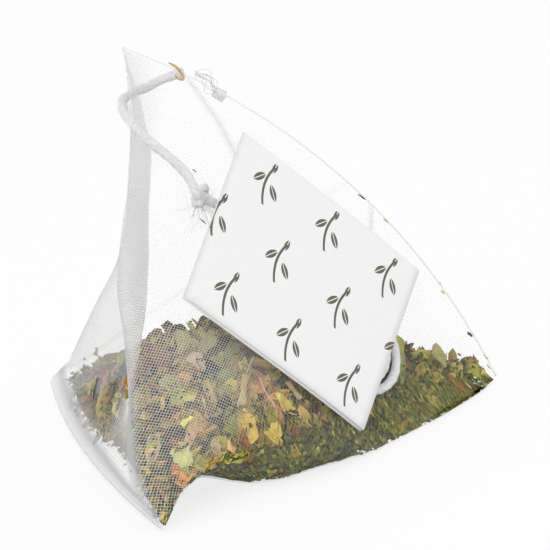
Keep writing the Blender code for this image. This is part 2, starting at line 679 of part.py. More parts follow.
make_pouch(film_look)
make_filling(fine_look)
for name, look, s, v, turn, long, wide, tip, curl in LEAVES:
    make_leaf(name, looks[look], s, v, turn, long, wide, tip, curl)
make_tag(card_look)
hank, along_tag, across_tag, off_tag = make_hank(cord_look)
knot = make_knot(cord_look)


def from_tip(place):
    return corners()[0] + np.array(place) * SIZE


tube("string", smooth_route([from_tip(p) for p in STRING_ROUTE], STRING * 2.2), STRING, cord_look)
tube("string_tail", smooth_route([from_tip(p) for p in TAIL_ROUTE], STRING * 2), STRING, cord_look)
end = hank - along_tag * (HANK_LONG / 2 + STRING / 2 + CLEAR)
start = knot + (end - knot) / np.linalg.norm(end - knot) * (KNOT / 2 + STRING / 2 + CLEAR)
bend = (start + end) / 2 + off_tag * 0.2 * SIZE
tube("string_lead", smooth_route([start, bend, end], STRING * 2), STRING, cord_look)
print("made", len(HOME.objects), "pieces")
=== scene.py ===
import json
import math

import bpy
import numpy as np
from mathutils import Matrix, Vector
from mathutils.bvhtree import BVHTree


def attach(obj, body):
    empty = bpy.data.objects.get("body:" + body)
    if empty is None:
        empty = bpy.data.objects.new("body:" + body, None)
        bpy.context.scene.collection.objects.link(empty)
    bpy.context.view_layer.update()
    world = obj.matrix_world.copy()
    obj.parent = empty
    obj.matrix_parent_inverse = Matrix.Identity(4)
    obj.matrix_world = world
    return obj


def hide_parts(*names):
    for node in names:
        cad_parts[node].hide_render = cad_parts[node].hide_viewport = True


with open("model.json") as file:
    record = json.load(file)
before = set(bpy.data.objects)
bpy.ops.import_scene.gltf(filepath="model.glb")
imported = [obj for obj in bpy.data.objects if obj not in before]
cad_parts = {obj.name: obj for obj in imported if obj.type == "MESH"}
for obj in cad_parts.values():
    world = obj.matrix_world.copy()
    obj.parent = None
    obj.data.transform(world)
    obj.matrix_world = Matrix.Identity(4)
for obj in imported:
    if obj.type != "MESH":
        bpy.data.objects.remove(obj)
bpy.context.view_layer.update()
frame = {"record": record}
mm = 0.001
dice = np.random.default_rng(11)
print("frame loaded")


class Wire:    # a node's output that sums can be written on
    def __init__(self, look, socket):
        self.look = look
        self.socket = socket

    def calc(self, operation, first, second):
        return self.look.node("Math", {"operation": operation}, {0: first, 1: second})

    def __add__(self, other):
        return self.calc("ADD", self, other)

    def __sub__(self, other):
        return self.calc("SUBTRACT", self, other)

    def __rsub__(self, other):
        return self.calc("SUBTRACT", other, self)

    def __mul__(self, other):
        return self.calc("MULTIPLY", self, other)

    def __truediv__(self, other):
        return self.calc("DIVIDE", self, other)

    def __rtruediv__(self, other):
        return self.calc("DIVIDE", other, self)

    __radd__, __rmul__ = __add__, __mul__    # the same either way round

    def below(self, limit):
        return self.calc("LESS_THAN", self, limit)

    def above(self, limit):
        return self.calc("GREATER_THAN", self, limit)

    def size(self):
        return self.calc("ABSOLUTE", self, 0.0)

    def peak(self, other):
        return self.calc("MAXIMUM", self, other)

    def rest(self, step):    # what is left over past a whole number of steps
        return self.calc("FLOORED_MODULO", self, step)


class Look:    # a material or the world, with one shader, filled in by nodes
    def __init__(self, name, shelf="materials", shader="Principled BSDF", **fixed):
        self.owner = getattr(bpy.data, shelf).new(name)
        self.owner.use_nodes = True
        self.tree = self.owner.node_tree
        self.shader = self.tree.nodes[shader]
        for socket, value in fixed.items():
            self.shader.inputs[socket.replace("_", " ")].default_value = value

    def node(self, kind, settings, sockets, out=0):
        made = self.tree.nodes.new("ShaderNode" + kind)
        for setting, value in settings.items():
            setattr(made, setting, value)
        for socket, value in sockets.items():
            if isinstance(value, Wire):
                self.tree.links.new(value.socket, made.inputs[socket])
            else:
                made.inputs[socket].default_value = value
        return Wire(self, made.outputs[out])

    def feed(self, socket, wire):
        self.tree.links.new(wire.socket, self.shader.inputs[socket])

    def place(self):
        return self.node("TexCoord", {}, {}, "Object")

    def noise(self, scale, detail=2.0):    # scale is in lumps per metre
        sockets = {"Vector": self.place(), "Scale": scale, "Detail": detail}
        return self.node("TexNoise", {}, sockets)

    def sheet(self):    # the two ways of the piece's own UV map
        flat = self.node("UVMap", {"uv_map": "UVMap"}, {})
        return [self.node("SeparateXYZ", {}, {0: flat}, way) for way in (0, 1)]

    def painted(self):    # the colour kept at each of the piece's points
        return self.node("Attribute", {"attribute_name": "tint"}, {}, "Color")

    def channel(self, wire, which):    # red is 0, green 1, blue 2
        return self.node("SeparateColor", {}, {"Color": wire}, which)

    def mix(self, first, second, share):
        return self.node("Mix", {"data_type": "RGBA"}, {0: share, 6: first, 7: second}, 2)

    def paint(self, first, second, share):    # the surface's colour, mixed from two
        self.feed("Base Color", self.mix(first, second, share))

    def bump(self, height, depth, strength=1.0):
        sockets = {"Height": height, "Distance": depth, "Strength": strength}
        self.feed("Normal", self.node("Bump", {}, sockets))


def colour(red, green, blue):
    return (red, green, blue, 1.0)


home = bpy.data.collections.new("teaBag")
bpy.context.scene.collection.children.link(home)


def piece(name, points, faces, look, slot, nodes=(), uv=None, tint=None, smooth=True):
    # points and arrays of faces, of three or four corners each, become one mesh
    groups = faces if isinstance(faces, list) else [faces]
    corners = np.concatenate([group.reshape(-1) for group in groups]).astype(np.int32)
    sizes = np.concatenate([np.full(len(group), group.shape[1]) for group in groups])
    starts = np.concatenate([[0], np.cumsum(sizes)[:-1]]).astype(np.int32)
    points = np.asarray(points).reshape(-1, 3)
    mesh = bpy.data.meshes.new(name)
    mesh.vertices.add(len(points))
    mesh.vertices.foreach_set("co", points.astype(np.float32).ravel())
    mesh.loops.add(len(corners))
    mesh.loops.foreach_set("vertex_index", corners)
    mesh.polygons.add(len(sizes))
    mesh.polygons.foreach_set("loop_start", starts)
    mesh.polygons.foreach_set("use_smooth", np.full(len(sizes), smooth))
    mesh.update(calc_edges=True)
    if uv is not None:
        layer = mesh.uv_layers.new(name="UVMap")
        atCorners = np.asarray(uv).reshape(-1, 2)[corners]
        layer.data.foreach_set("uv", atCorners.astype(np.float32).ravel())
    if tint is not None:
        layer = mesh.color_attributes.new("tint", "FLOAT_COLOR", "POINT")
        layer.data.foreach_set("color", np.asarray(tint).astype(np.float32).ravel())
    mesh.materials.append(look.owner)
    made = bpy.data.objects.new(name, mesh)
    home.objects.link(made)
    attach(made, "root")
    if nodes:
        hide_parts(*nodes)
    return made


def lengths(vectors):
    return np.linalg.norm(vectors, axis=-1, keepdims=True)


def unit(vectors):
    return vectors / np.maximum(lengths(vectors), 1e-12)


upWay = np.array([0.0, 0.0, 1.0])


def spans(route):
    # the distance from each point of a route to the next
    return lengths(np.diff(route, axis=0))[:, 0]


def climb(values, start, span):
    # 0 up to the start, then evenly to 1 over the span
    return np.clip((values - start) / span, 0, 1)


def offFloor(points, least=0.0):
    # the same points, none of them lower than least
    points[..., 2] = np.maximum(points[..., 2], least)
    return points


def gridQuads(rows, cols, closed=False):
    # a quad for each cell of a grid; closed joins the last column to the first
    grid = np.arange(rows * cols).reshape(rows, cols)
    here, beside = (grid, np.roll(grid, -1, 1)) if closed else (grid[:, :-1], grid[:, 1:])
    return np.stack([here[:-1], beside[:-1], beside[1:], here[1:]], -1).reshape(-1, 4)


def tubeFaces(rows, sides):
    # a tube's quads, and a fan of triangles over each end
    k = np.arange(1, sides - 1)
    fan = np.stack([0 * k, k + 1, k], 1)
    caps = np.concatenate([fan, fan[:, [0, 2, 1]] + (rows - 1) * sides])
    return [gridQuads(rows, sides, closed=True), caps]


def turned(faces):
    # the same faces, looking the other way
    return faces[:, [0, *range(faces.shape[1] - 1, 0, -1)]]


def thicken(made, depth):
    # the sheet gets a wall, half of it to each side
    wall = made.modifiers.new("thickness", "SOLIDIFY")
    wall.thickness = depth
    wall.offset = 0.0


def aim(thing, right, up, back, place):
    # its three own ways and its place are the columns of its matrix
    rows = np.stack([right, up, back, place], 1).tolist()
    thing.matrix_world = Matrix(rows + [[0.0, 0.0, 0.0, 1.0]])
    bpy.context.scene.collection.objects.link(thing)


# Camera: at the height and tilt of the photograph.
eye = dict(place=(0.0030, -0.2859, 0.0968), right=(0.98902, -0.03950, -0.14243),
           up=(0.14781, 0.26431, 0.95305), back=(0.0, -0.96364, 0.26724), lens=171.8)
camera = bpy.data.objects.new("camera", bpy.data.cameras.new("camera"))
camera.data.lens = eye["lens"]
camera.data.clip_start = 0.01
aim(camera, eye["right"], eye["up"], eye["back"], eye["place"])
bpy.context.scene.camera = camera

# Pouch, as in the part: two crossed seams, four folds.
bag = dict(topSeam=58.6 * mm, footSeam=60.0 * mm, seamApart=36.2 * mm, heading=6.2, skew=7.5,
           topBow=5.4 * mm, footBow=2.0 * mm, lip=0.42 * mm)
# how far each fold bows at each step from seam to seam: 0 is along x, 2 is up
bow = dict(steps=(0.0, 0.12, 0.26, 0.38, 0.5, 0.62, 0.74, 0.86, 0.94, 1.0), ways=(0, 2, 2, 0),
           moves=((0, -0.3, -0.9, -2.4, -3.4, -2.9, -2.6, -2.4, -1.4, 0),
                  (0, 1.3, 3.0, 4.9, 6.6, 7.3, 5.2, 3.9, 2.3, 0),
                  (0, 0.8, 1.6, 2.2, 2.4, 2.2, 1.6, 0.9, 0.4, 0),
                  (0, 1.8, 2.8, 3.7, 4.6, 4.6, 3.3, 2.2, 1.5, 0)))
# the front fold's bulge and its sag below, and the left side's dent, from seam to seam
bulge = dict(at=(0, 0.1, 0.3, 0.5, 0.62, 0.72, 0.8, 0.9, 1),
             out=(0, 3.4, 8.6, 12.6, 13.6, 10.8, 6.0, 1.0, 0))
sag = dict(at=(0, 0.1, 0.5, 0.78, 0.9, 1), down=(0, 2.0, 9.0, 5.5, 0.6, 0))
dent = dict(at=(0, 0.1, 0.26, 0.5, 0.75, 0.9, 1), deep=(0, 1.4, 3.3, 4.6, 3.6, 1.0, 0))


def heading(degrees):
    # a level way, turned to the left from x
    angle = math.radians(degrees)
    return np.array([math.cos(angle), math.sin(angle), 0.0])


def tips():
    # the four tips: upper left, right, front and back left, and the foot seam's middle
    reach = math.hypot(bag["topSeam"] / 2, bag["seamApart"])
    along = (bag["seamApart"] ** 2 - (bag["topSeam"] / 2) ** 2) / reach
    height = bag["topSeam"] * bag["seamApart"] / reach
    go = heading(bag["heading"])
    across = heading(bag["heading"] - 90 + bag["skew"])
    foot = np.array([-19.6 * mm, 0.0, 0.0])
    top = foot + go * along + upWay * height
    half = across * bag["footSeam"] / 2
    return top, foot + go * reach, foot + half, foot - half, foot


def eased(steps, values, at):
    # a cubic through each pair of values, with the slope of their neighbours
    steps, values = np.asarray(steps, float), np.asarray(values, float)
    slope = np.gradient(values, steps)
    i = np.clip(np.searchsorted(steps, at, side="right") - 1, 0, len(steps) - 2)
    span = steps[i + 1] - steps[i]
    u = (at - steps[i]) / span
    first, second = slope[i] * span, slope[i + 1] * span
    return ((2 * u ** 3 - 3 * u ** 2 + 1) * values[i] + (u ** 3 - 2 * u ** 2 + u) * first
            + (3 * u ** 2 - 2 * u ** 3) * values[i + 1] + (u ** 3 - u ** 2) * second)


def filmRings(longCells, fine=40):
    # rings from the upper seam, v = 0, to the foot, v = 1: straight lines between the
    # four folds, plus bows and bulges that fade to nothing at the folds and seams
    top, right, front, back, foot = tips()
    v = np.linspace(0, 1, longCells + 1)
    folds = []
    ends = ((top, front), (right, front), (right, back), (top, back))
    for (a, b), way, moves in zip(ends, bow["ways"], bow["moves"]):
        line = a + (b - a) * v[:, None]
        line[:, way] += eased(bow["steps"], moves, v) * mm
        folds.append(line)
    t = np.arange(fine) / fine
    hump = (4 * t * (1 - t))[None, :, None]
    rise = unit((top + right) / 2 - foot)
    face = unit(np.cross(front - top, right - top))
    rear = unit(np.cross(right - top, back - top))
    out = unit(np.array([right[1] - front[1], front[0] - right[0], 0.0]))
    sides = [one[:, None] + (two - one)[:, None] * t[None, :, None]
             for one, two in zip(folds, folds[1:] + folds[:1])]
    column = v[:, None, None]
    for k in (0, 2):
        sides[k] = sides[k] + rise * bag["topBow"] * (1 - column) ** 1.3 * hump
    for k in (1, 3):
        sides[k] = sides[k] - heading(bag["heading"]) * bag["footBow"] * column ** 2.2 * hump
    fat = np.sin(math.pi * column) ** 0.8
    sides[0] += face * 0.5 * mm * fat * (0.35 + 0.65 * column) * hump
    sides[2] += rear * 1.2 * mm * fat * (0.3 + 0.7 * column) * hump
    near = np.exp(-((t - 0.13) / 0.14) ** 2) * np.minimum(1, t / 0.1)
    push = np.interp(v, bulge["at"], bulge["out"])
    sides[1] += out * mm * push[:, None, None] * near[None, :, None]
    drop = np.minimum(1, t / 0.16) * np.minimum(1, (1 - t) / 0.1)
    sides[1][:, :, 2] -= mm * np.interp(v, sag["at"], sag["down"])[:, None] * drop[None, :]
    crease = np.where(t < 0.66, t / 0.66, (1 - t) / 0.34) ** 1.15
    dip = np.interp(v, dent["at"], dent["deep"])
    sides[3] += np.array([1.0, -0.1, 0.0]) * mm * dip[:, None, None] * crease[None, :, None]
    rings = np.concatenate(sides, axis=1)
    soft = rings.copy()
    for _ in range(26):
        soft = (np.roll(soft, 1, 1) + 2 * soft + np.roll(soft, -1, 1)) / 4
    s = np.arange(4 * fine) / fine
    byFold = np.exp(-((np.minimum(abs(s - 1), 4 - abs(s - 1))) / 0.5) ** 2)
    share = (0.45 + 0.55 * byFold)[None, :] * (np.sin(math.pi * np.clip(v, 0, 1)) ** 0.6)[:, None]
    rings += (soft - rings) * share[:, :, None]
    # both seams close to a thin lip with round ends
    plate = unit(face - rear)
    half = bag["lip"] / 2
    turn = math.pi * t[:, None]
    flat, tip = half * np.cos(turn), half * np.sin(turn)
    toRight, toFront = unit(right - top), unit(front - back)
    whole = np.full_like(flat, half)
    topLip = [plate * whole, plate * flat + toRight * tip,
              -plate * whole, -plate * flat - toRight * tip]
    footLip = [upWay * flat + toFront * tip, -upWay * whole,
               -upWay * flat - toFront * tip, upWay * whole]
    rings += np.concatenate(topLip)[None] * np.clip(1 - column / 0.12, 0, 1)
    rings += (np.concatenate(footLip)[None] + upWay * half) * np.clip(1 - (1 - column) / 0.12, 0, 1)
    return offFloor(rings)


filmRows = 160
filmCols = 160
skin = filmRings(filmRows)
around = np.roll(skin, -1, 1) - np.roll(skin, 1, 1)
skinOut = unit(np.cross(np.gradient(skin, axis=0), around))


def sideOf(q, v):
    # q runs round the flat tube, 0 to 4; the folds move along it by a quarter turn
    q = np.mod(q, 4.0)
    q = np.where(q < v, q + 4, q)
    wide, narrow = np.maximum(2 - 2 * v, 1e-6), np.maximum(2 * v, 1e-6)
    made = (q - v) / wide
    made = np.where(q > 2 - v, 1 + (q - 2 + v) / narrow, made)
    made = np.where(q > 2 + v, 2 + (q - 2 - v) / wide, made)
    return np.where(q > 4 - v, 3 + (q - 4 + v) / narrow, made)


def girthOf(s, v):
    # the way back from a place between two folds to the flat tube
    s = np.mod(s, 4.0)
    side = np.floor(s)
    t = s - side
    made = np.where(side == 0, v + t * (2 - 2 * v), 2 - v + t * 2 * v)
    made = np.where(side == 2, 2 + v + t * (2 - 2 * v), made)
    return np.where(side == 3, 4 - v + t * 2 * v, made)


def clearInside():
    # how far the film's other side is from each of its points, straight inwards
    flat = skin.reshape(-1, 3)
    quads = gridQuads(*skin.shape[:2], closed=True)
    tree = BVHTree.FromPolygons(flat.tolist(), quads.tolist())
    made = np.zeros(len(flat))
    for k, (at, out) in enumerate(zip(flat, skinOut.reshape(-1, 3))):
        far = tree.ray_cast(Vector(at - out * 0.04 * mm), Vector(-out))[3]
        made[k] = far or 0.0
    made = made.reshape(skin.shape[:2])
    for _ in range(2):
        made = np.minimum(made, np.minimum(np.roll(made, 1, 1), np.roll(made, -1, 1)))
        made[1:-1] = np.minimum(made[1:-1], np.minimum(made[2:], made[:-2]))
    return made[..., None]


clear = clearInside()


def sampled(field, s, v):
    # a value of the film's grid, read between its four nearest points
    x, y = np.mod(s, 4.0) * filmCols / 4, np.clip(v, 0, 1) * filmRows
    i, j = np.floor(x).astype(int) % filmCols, np.minimum(np.floor(y).astype(int), filmRows - 1)
    f, g = (x - np.floor(x))[..., None], (y - j)[..., None]
    k = (i + 1) % filmCols
    near = field[j, i] * (1 - f) + field[j, k] * f
    far = field[j + 1, i] * (1 - f) + field[j + 1, k] * f
    return near * (1 - g) + far * g


def onFilm(s, v, depth=0.0):
    # the film's point, moved inwards by depth, and its outward way
    out = unit(sampled(skinOut, s, v))
    return sampled(skin, s, v) - out * np.asarray(depth)[..., None], out


def fromFlat(q, v, depth=0.0):
    # the same for a place on the flat tube
    return onFilm(sideOf(q, v), v, depth)


def filmRoom(s, v):
    # how deep a piece may lie before it comes near the film's other side
    return 0.42 * sampled(clear, s, v)[..., 0]


def runOf(paths, closed):
    # which way each path goes at each of its points
    return np.roll(paths, -1, 1) - np.roll(paths, 1, 1) if closed else np.gradient(paths, axis=1)


def stepsOf(count, steps, sides, closed):
    # the numbers of each path's points, and of those one step ahead
    grid = np.arange(count * steps * sides).reshape(count, steps, sides)
    return (grid, np.roll(grid, -1, 1)) if closed else (grid[:, :-1], grid[:, 1:])


def circles(run, outward, sides):
    # a circle of size 1 across the run, round each point
    run = unit(run)
    across = unit(np.cross(run, outward))
    off = np.cross(across, run)
    angle = 2 * math.pi * np.arange(sides) / sides
    return off[..., None, :] * np.cos(angle)[:, None] + across[..., None, :] * np.sin(angle)[:, None]


def tubes(paths, outward, radius, sides=3, taper=1.0):
    # each path becomes a tube: its points plus a small circle across its run
    thick = radius * np.broadcast_to(taper, paths.shape[1])
    ring = circles(runOf(paths, False), outward, sides)
    points = paths[:, :, None] + ring * thick[None, :, None, None]
    here, ahead = stepsOf(*paths.shape[:2], sides, False)
    quads = np.stack([here, np.roll(here, -1, 2), np.roll(ahead, -1, 2), ahead], -1)
    ends = [here[:, 0, ::-1], ahead[:, -1]]
    if sides > 4:
        ends = [np.concatenate([end[:, [0, k, k + 1]] for k in range(1, sides - 1)]) for end in ends]
    return points.reshape(-1, 3), [quads.reshape(-1, 4), *ends]


def ribbons(paths, outward, wide, crown, closed):
    # each path becomes a thread's upper half: a middle line raised by the crown, two edges
    across = unit(np.cross(runOf(paths, closed), outward)) * wide / 2
    points = np.stack([paths + across, paths + unit(outward) * crown, paths - across], 2)
    here, ahead = stepsOf(*paths.shape[:2], 3, closed)
    quads = np.stack([here[..., 1:], here[..., :-1], ahead[..., :-1], ahead[..., 1:]], -1)
    return offFloor(points).reshape(-1, 3), [quads.reshape(-1, 4)]


def joined(parts):
    # several sets of points and faces as one, each set's numbers moved past the last one's
    points, faces, start = [], [], 0
    for some, groups in parts:
        faces += [group + start for group in groups]
        points.append(some)
        start += len(some)
    return np.concatenate(points), faces


def smoothRoute(points, gap):
    # even points along cubic pieces that pass through each given point
    points = np.array(points, float)
    ends = [points[:1] * 2 - points[1:2], points, points[-1:] * 2 - points[-2:-1]]
    padded = np.concatenate(ends)
    t = np.linspace(0, 1, 24, endpoint=False)[None, :, None]
    p0, p1, p2, p3 = [padded[k:k + len(points) - 1, None] for k in range(4)]
    fine = 0.5 * (2 * p1 + (p2 - p0) * t + (2 * p0 - 5 * p1 + 4 * p2 - p3) * t ** 2
                  + (3 * p1 - p0 - 3 * p2 + p3) * t ** 3)
    fine = np.concatenate([fine.reshape(-1, 3), points[-1:]])
    run = np.concatenate([[0], np.cumsum(spans(fine))])
    at = np.linspace(0, run[-1], max(3, int(round(run[-1] / gap))) + 1)
    return np.stack([np.interp(at, run, fine[:, c]) for c in range(3)], 1)


# Tag: its place is from the upper tip, in millimetres along the upper seam, down and out.
tag = dict(place=(29.9, 11.9, 5.4), lean=(0.992, -0.113, -0.057), tip=0.024, long=27.0 * mm,
           wide=22.7 * mm, paper=0.2 * mm, gap=0.3 * mm, bow=0.25 * mm, askew=1.0 * mm)


def tagFrame():
    # the tag's middle, its long way, its wide way and the way off its front
    top, right, front, back, foot = tips()
    face = unit(np.cross(right - top, front - top))
    face = face if face[1] < 0 else -face
    e1 = unit(right - top)
    e2 = np.cross(e1, face)
    e2 = e2 if e2 @ (front - top) > 0 else -e2
    a, b, c = tag["place"]
    centre = top + (e1 * a + e2 * b + face * c) * mm
    longWay = unit(e1 * tag["lean"][0] + e2 * tag["lean"][1] + face * tag["lean"][2])
    off = face - longWay * (face @ longWay) - e2 * tag["tip"]
    off = unit(off - longWay * (off @ longWay))
    wideWay = np.cross(off, longWay)
    wideWay = wideWay if wideWay @ e2 > 0 else -wideWay
    return centre, longWay, wideWay, off


# String: from its weld behind the upper tip, over the front to the knot, then the hank.
cord = dict(thick=1.1 * mm, plies=4, plyTwist=5.5 * mm, fuzz=1300, fuzzLong=1.1 * mm,
            fuzzThick=0.011 * mm, hankAt=(3.5, 1.6), hankDown=1.425 * mm, gap=0.35)
upperTip = tips()[0]
tagMiddle, tagLong, tagWide, tagOff = tagFrame()
fromTip = ((6.1, 2.2, -4.1), (4.8, 2.6, -4.4), (3.4, 3.1, -4.8), (1.9, 4.0, -5.5), (0.6, 4.6, -5.9),
           (-0.5, 4.0, -6.2), (-1.0, 2.4, -6.3), (-1.0, 0.2, -6.4), (-0.9, -2.2, -6.5),
           (-0.7, -4.1, -6.6), (-0.2, -5.6, -7.0), (0.4, -6.4, -7.9), (1.6, -6.5, -9.5),
           (2.8, -6.6, -10.8), (4.2, -6.8, -12.4), (5.1, -7.3, -13.7))
knotAt = upperTip + np.array((6.1, -8.5, -15.7)) * mm
hankMiddle = tagMiddle + (tagLong * cord["hankAt"][0] + tagWide * cord["hankAt"][1]) * mm
hankMiddle = hankMiddle - tagOff * cord["hankDown"]
inHank = ((-15.4, -4.7, -1.3), (-13.0, -4.6, -0.5), (-10.0, -4.4, 0), (-6.0, -4.4, 0),
          (-2.0, -4.4, 0), (2.0, -4.4, 0), (7.85, -4.4, 0), (10.05, -3.8, 0), (11.65, -2.2, 0),
          (12.25, 0, 0),
          (11.65, 2.2, 0), (10.05, 3.8, 0), (7.85, 4.4, 0), (2.0, 4.4, 0), (-2.0, 4.4, 0),
          (-6.05, 4.4, 0), (-8.0, 3.85, 0), (-9.4, 2.45, 0), (-9.9, 0.55, 0), (-9.4, -1.35, 0),
          (-8.0, -2.77, 0), (-6.05, -3.3, 0), (-2.0, -3.3, 0), (2.0, -3.3, 0), (7.45, -3.3, 0),
          (9.1, -2.86, 0), (10.3, -1.65, 0), (10.75, 0, 0), (10.3, 1.65, 0), (9.1, 2.86, 0),
          (7.45, 3.3, 0), (2.0, 3.3, 0), (-2.0, 3.3, 0), (-5.6, 3.3, 0))
inHank = np.array(inHank) * mm
hankPoints = hankMiddle + inHank @ np.stack([tagLong, tagWide, tagOff])
tipPoints = upperTip + np.array(fromTip) * mm
stringRoute = smoothRoute(np.concatenate([tipPoints, knotAt[None], hankPoints]), cord["gap"] * mm)


def yarn(route, thick, plies, twist, refs, groove=0.22, sides=24):
    # a tube whose radius swells and dips round it, once for each ply, and turns along it
    along = np.arange(len(route)) * spans(route).mean()
    angle = 2 * math.pi * np.arange(sides) / sides
    phase = plies * (angle[None] - 2 * math.pi * along[:, None] / twist) / 2
    radius = thick / 2 * (1 - groove * (1 - abs(np.cos(phase)) ** 0.7))
    radius = radius * (1 + 0.05 * np.sin(along / thick * 1.7)[:, None])
    ring = circles(np.gradient(route, axis=0), refs, sides)
    points = route[:, None] + ring * radius[..., None]
    turnAt = angle[None] / (2 * math.pi) - along[:, None] / twist
    uv = np.stack([np.broadcast_to(along[:, None] / mm, turnAt.shape), turnAt], -1)
    return points.reshape(-1, 3), tubeFaces(len(route), sides), uv.reshape(-1, 2)


def fibres(starts, ways, size, thick, steps=7):
    # short loose hairs: each leaves its start along a way that slowly turns aside
    u = np.linspace(0, 1, steps)[None, :, None]
    first, second = [unit(dice.normal(size=starts.shape))[:, None] for _ in (1, 2)]
    bent = ways[:, None] * u + first * u ** 2 * 0.7 + second * u ** 3 * 0.5
    paths = starts[:, None] + np.asarray(size).reshape(-1, 1, 1) * bent
    outward = unit(np.cross(ways, first[:, 0] + 0.01))[:, None]
    return tubes(paths, outward, thick, taper=np.linspace(1, 0.4, steps))


threadLook = Look("softThread", Roughness=0.75, Sheen_Weight=0.2)
strands = threadLook.noise(2600.0, 3.0)
threadLook.paint(colour(0.57, 0.57, 0.59), colour(0.92, 0.92, 0.92), strands)
threadLook.bump(threadLook.noise(9000.0, 2.0), 0.05 * mm, 0.6)

pastKnot = climb(np.arange(len(stringRoute)) * cord["gap"], 26, 8)[:, None]    # in millimetres
refs = unit(upWay * (1 - pastKnot) + tagOff * pastKnot)
pick = dice.integers(3, len(stringRoute) * 3 // 5, cord["fuzz"])
hairStarts = stringRoute[pick] + unit(dice.normal(size=(len(pick), 3))) * cord["thick"] * 0.38
stringRun = unit(np.gradient(stringRoute, axis=0))
hairWays = stringRun[pick] * dice.choice([-1, 1], (len(pick), 1))
hairWays = unit(hairWays + 0.35 * dice.normal(size=(len(pick), 3)))
hairLong = cord["fuzzLong"] * dice.uniform(0.3, 1.0, len(pick))
hair = fibres(hairStarts, hairWays, hairLong, cord["fuzzThick"])
points, faces, uv = yarn(stringRoute, cord["thick"], cord["plies"], cord["plyTwist"], refs)
string = piece("stringYarn", points, faces, threadLook, "thread",
               ("string", "string_lead", "string_hank"), uv=uv)
fuzz = piece("stringFuzz", *hair, threadLook, "thread")

# Knot: one overhand turn of the same yarn.
t = np.linspace(0, 2 * math.pi, 90)[:, None]
knotTurn = [np.sin(t) + 2 * np.sin(2 * t), np.cos(t) - 2 * np.cos(2 * t), -1.6 * np.sin(3 * t)]
knotWays = np.stack([tagWide * 0.9, tagLong * 0.62, tagOff * 0.5])
knotRoute = knotAt + (np.concatenate(knotTurn, 1) * 0.42 * mm) @ knotWays
hung = 70    # loose strands below the knot
strandWays = unit(np.array([[0.1, -0.2, -1.0]]) + 0.25 * dice.normal(size=(hung, 3)))
strandStarts = knotAt + dice.normal(size=(hung, 3)) * 0.5 * mm
strandLong = 3.0 * mm * dice.uniform(0.5, 1, hung)
knotParts = joined([yarn(knotRoute, 0.9 * mm, 3, 3.4 * mm, tagOff + 0.3 * tagLong)[:2],
                    fibres(strandStarts, strandWays, strandLong, 0.03 * mm)])
knot = piece("knotYarn", *knotParts, threadLook, "thread", ("knot",))

# Tail: loose strands that fray past the weld, bunched again at the cut end.
tailFrom = ((7.5, 2.0, -4.4), (8.3, 2.2, -5.1), (8.8, 2.5, -5.9), (9.3, 2.9, -7.0))
tailRoute = smoothRoute(upperTip + np.array(tailFrom) * mm, 0.2 * mm)
along = np.linspace(0, 1, len(tailRoute))
loose = 0.35 + 0.9 * np.sin(math.pi * along) ** 0.7 * (1 - 0.5 * along)
tailOut = dice.normal(size=(11, 1, 3)) * 0.36 * mm * loose[None, :, None]    # 11 strands
tailSwing = dice.normal(size=(11, 1, 3)) * 0.25 * mm * np.sin(2 * math.pi * along)[None, :, None]
tailPaths = tailRoute[None] + tailOut + tailSwing
endRoute = smoothRoute([tailRoute[-1], tailRoute[-1] + np.array((0.9, 0.3, -0.75)) * mm], 0.12 * mm)
tailParts = joined([tubes(tailPaths, upWay, 0.035 * mm, sides=5),
                    yarn(endRoute, 1.3 * mm, 5, 40 * mm, upWay)[:2]])
tail = piece("stringTail", *tailParts, threadLook, "thread", ("string_tail",))

# Heap: how high the leaf stands, in millimetres, and how far down the film it reaches.
heap = dict(top=13.2, least=2.8, lumps=0.8, tilt=0.55, depth=0.7 * mm, lid=9 * mm,
            edgeAt=(0, 0.14, 0.4, 0.54, 0.76, 0.87, 0.95, 1.1, 1.5, 2.5, 2.85, 3.1, 3.22, 3.56, 4.0),
            edge=(0.955, 0.95, 0.887, 0.84, 0.87, 0.95, 0.995, 0.995, 0.95, 0.93, 0.89, 0.91,
                  0.955, 0.969, 0.955))


def heapTop(place):
    # the part's lumpy heap: a slope down to each side, a bank in front and crossed waves
    x, y = place[..., 0] / mm, place[..., 1] / mm
    waves = np.sin(x * 0.83 + 1.7) * np.sin(y * 0.71 + 0.4)
    waves = waves + 0.6 * np.sin(x * 1.1 + y * 1.3) * np.cos(y * 1.2)
    high = heap["top"] - 0.22 * np.maximum(0, x + 6) - 0.45 * np.maximum(0, -x - 11)
    high = high - 0.25 * np.maximum(0, x - 14) - 0.4 * np.maximum(0, y + 1) * climb(x, 11, 5)
    high = high - 0.2 * np.maximum(0, y + 12) * np.clip((8 - x) / 14, 0.25, 1)
    high = high + 1.6 * np.exp(-((y + 11) / 4) ** 2 - ((x + 4) / 6) ** 2)
    return (np.maximum(high, heap["least"]) + heap["lumps"] * waves) * mm


def edgeOf(q):
    # how far down the film the leaf reaches, by the place round it
    return np.interp(np.mod(q, 4), heap["edgeAt"], heap["edge"])


# Film: every thread of the weave, the long ones on the outside.
quarter, tubeLong = bag["footSeam"] / 2, 52 * mm
weave = dict(pitch=0.32 * mm, wide=0.075 * mm, crown=0.018 * mm, lift=0.025 * mm, warpSteps=60,
             weftSteps=180, lapThreads=6, lapPitch=0.13 * mm)
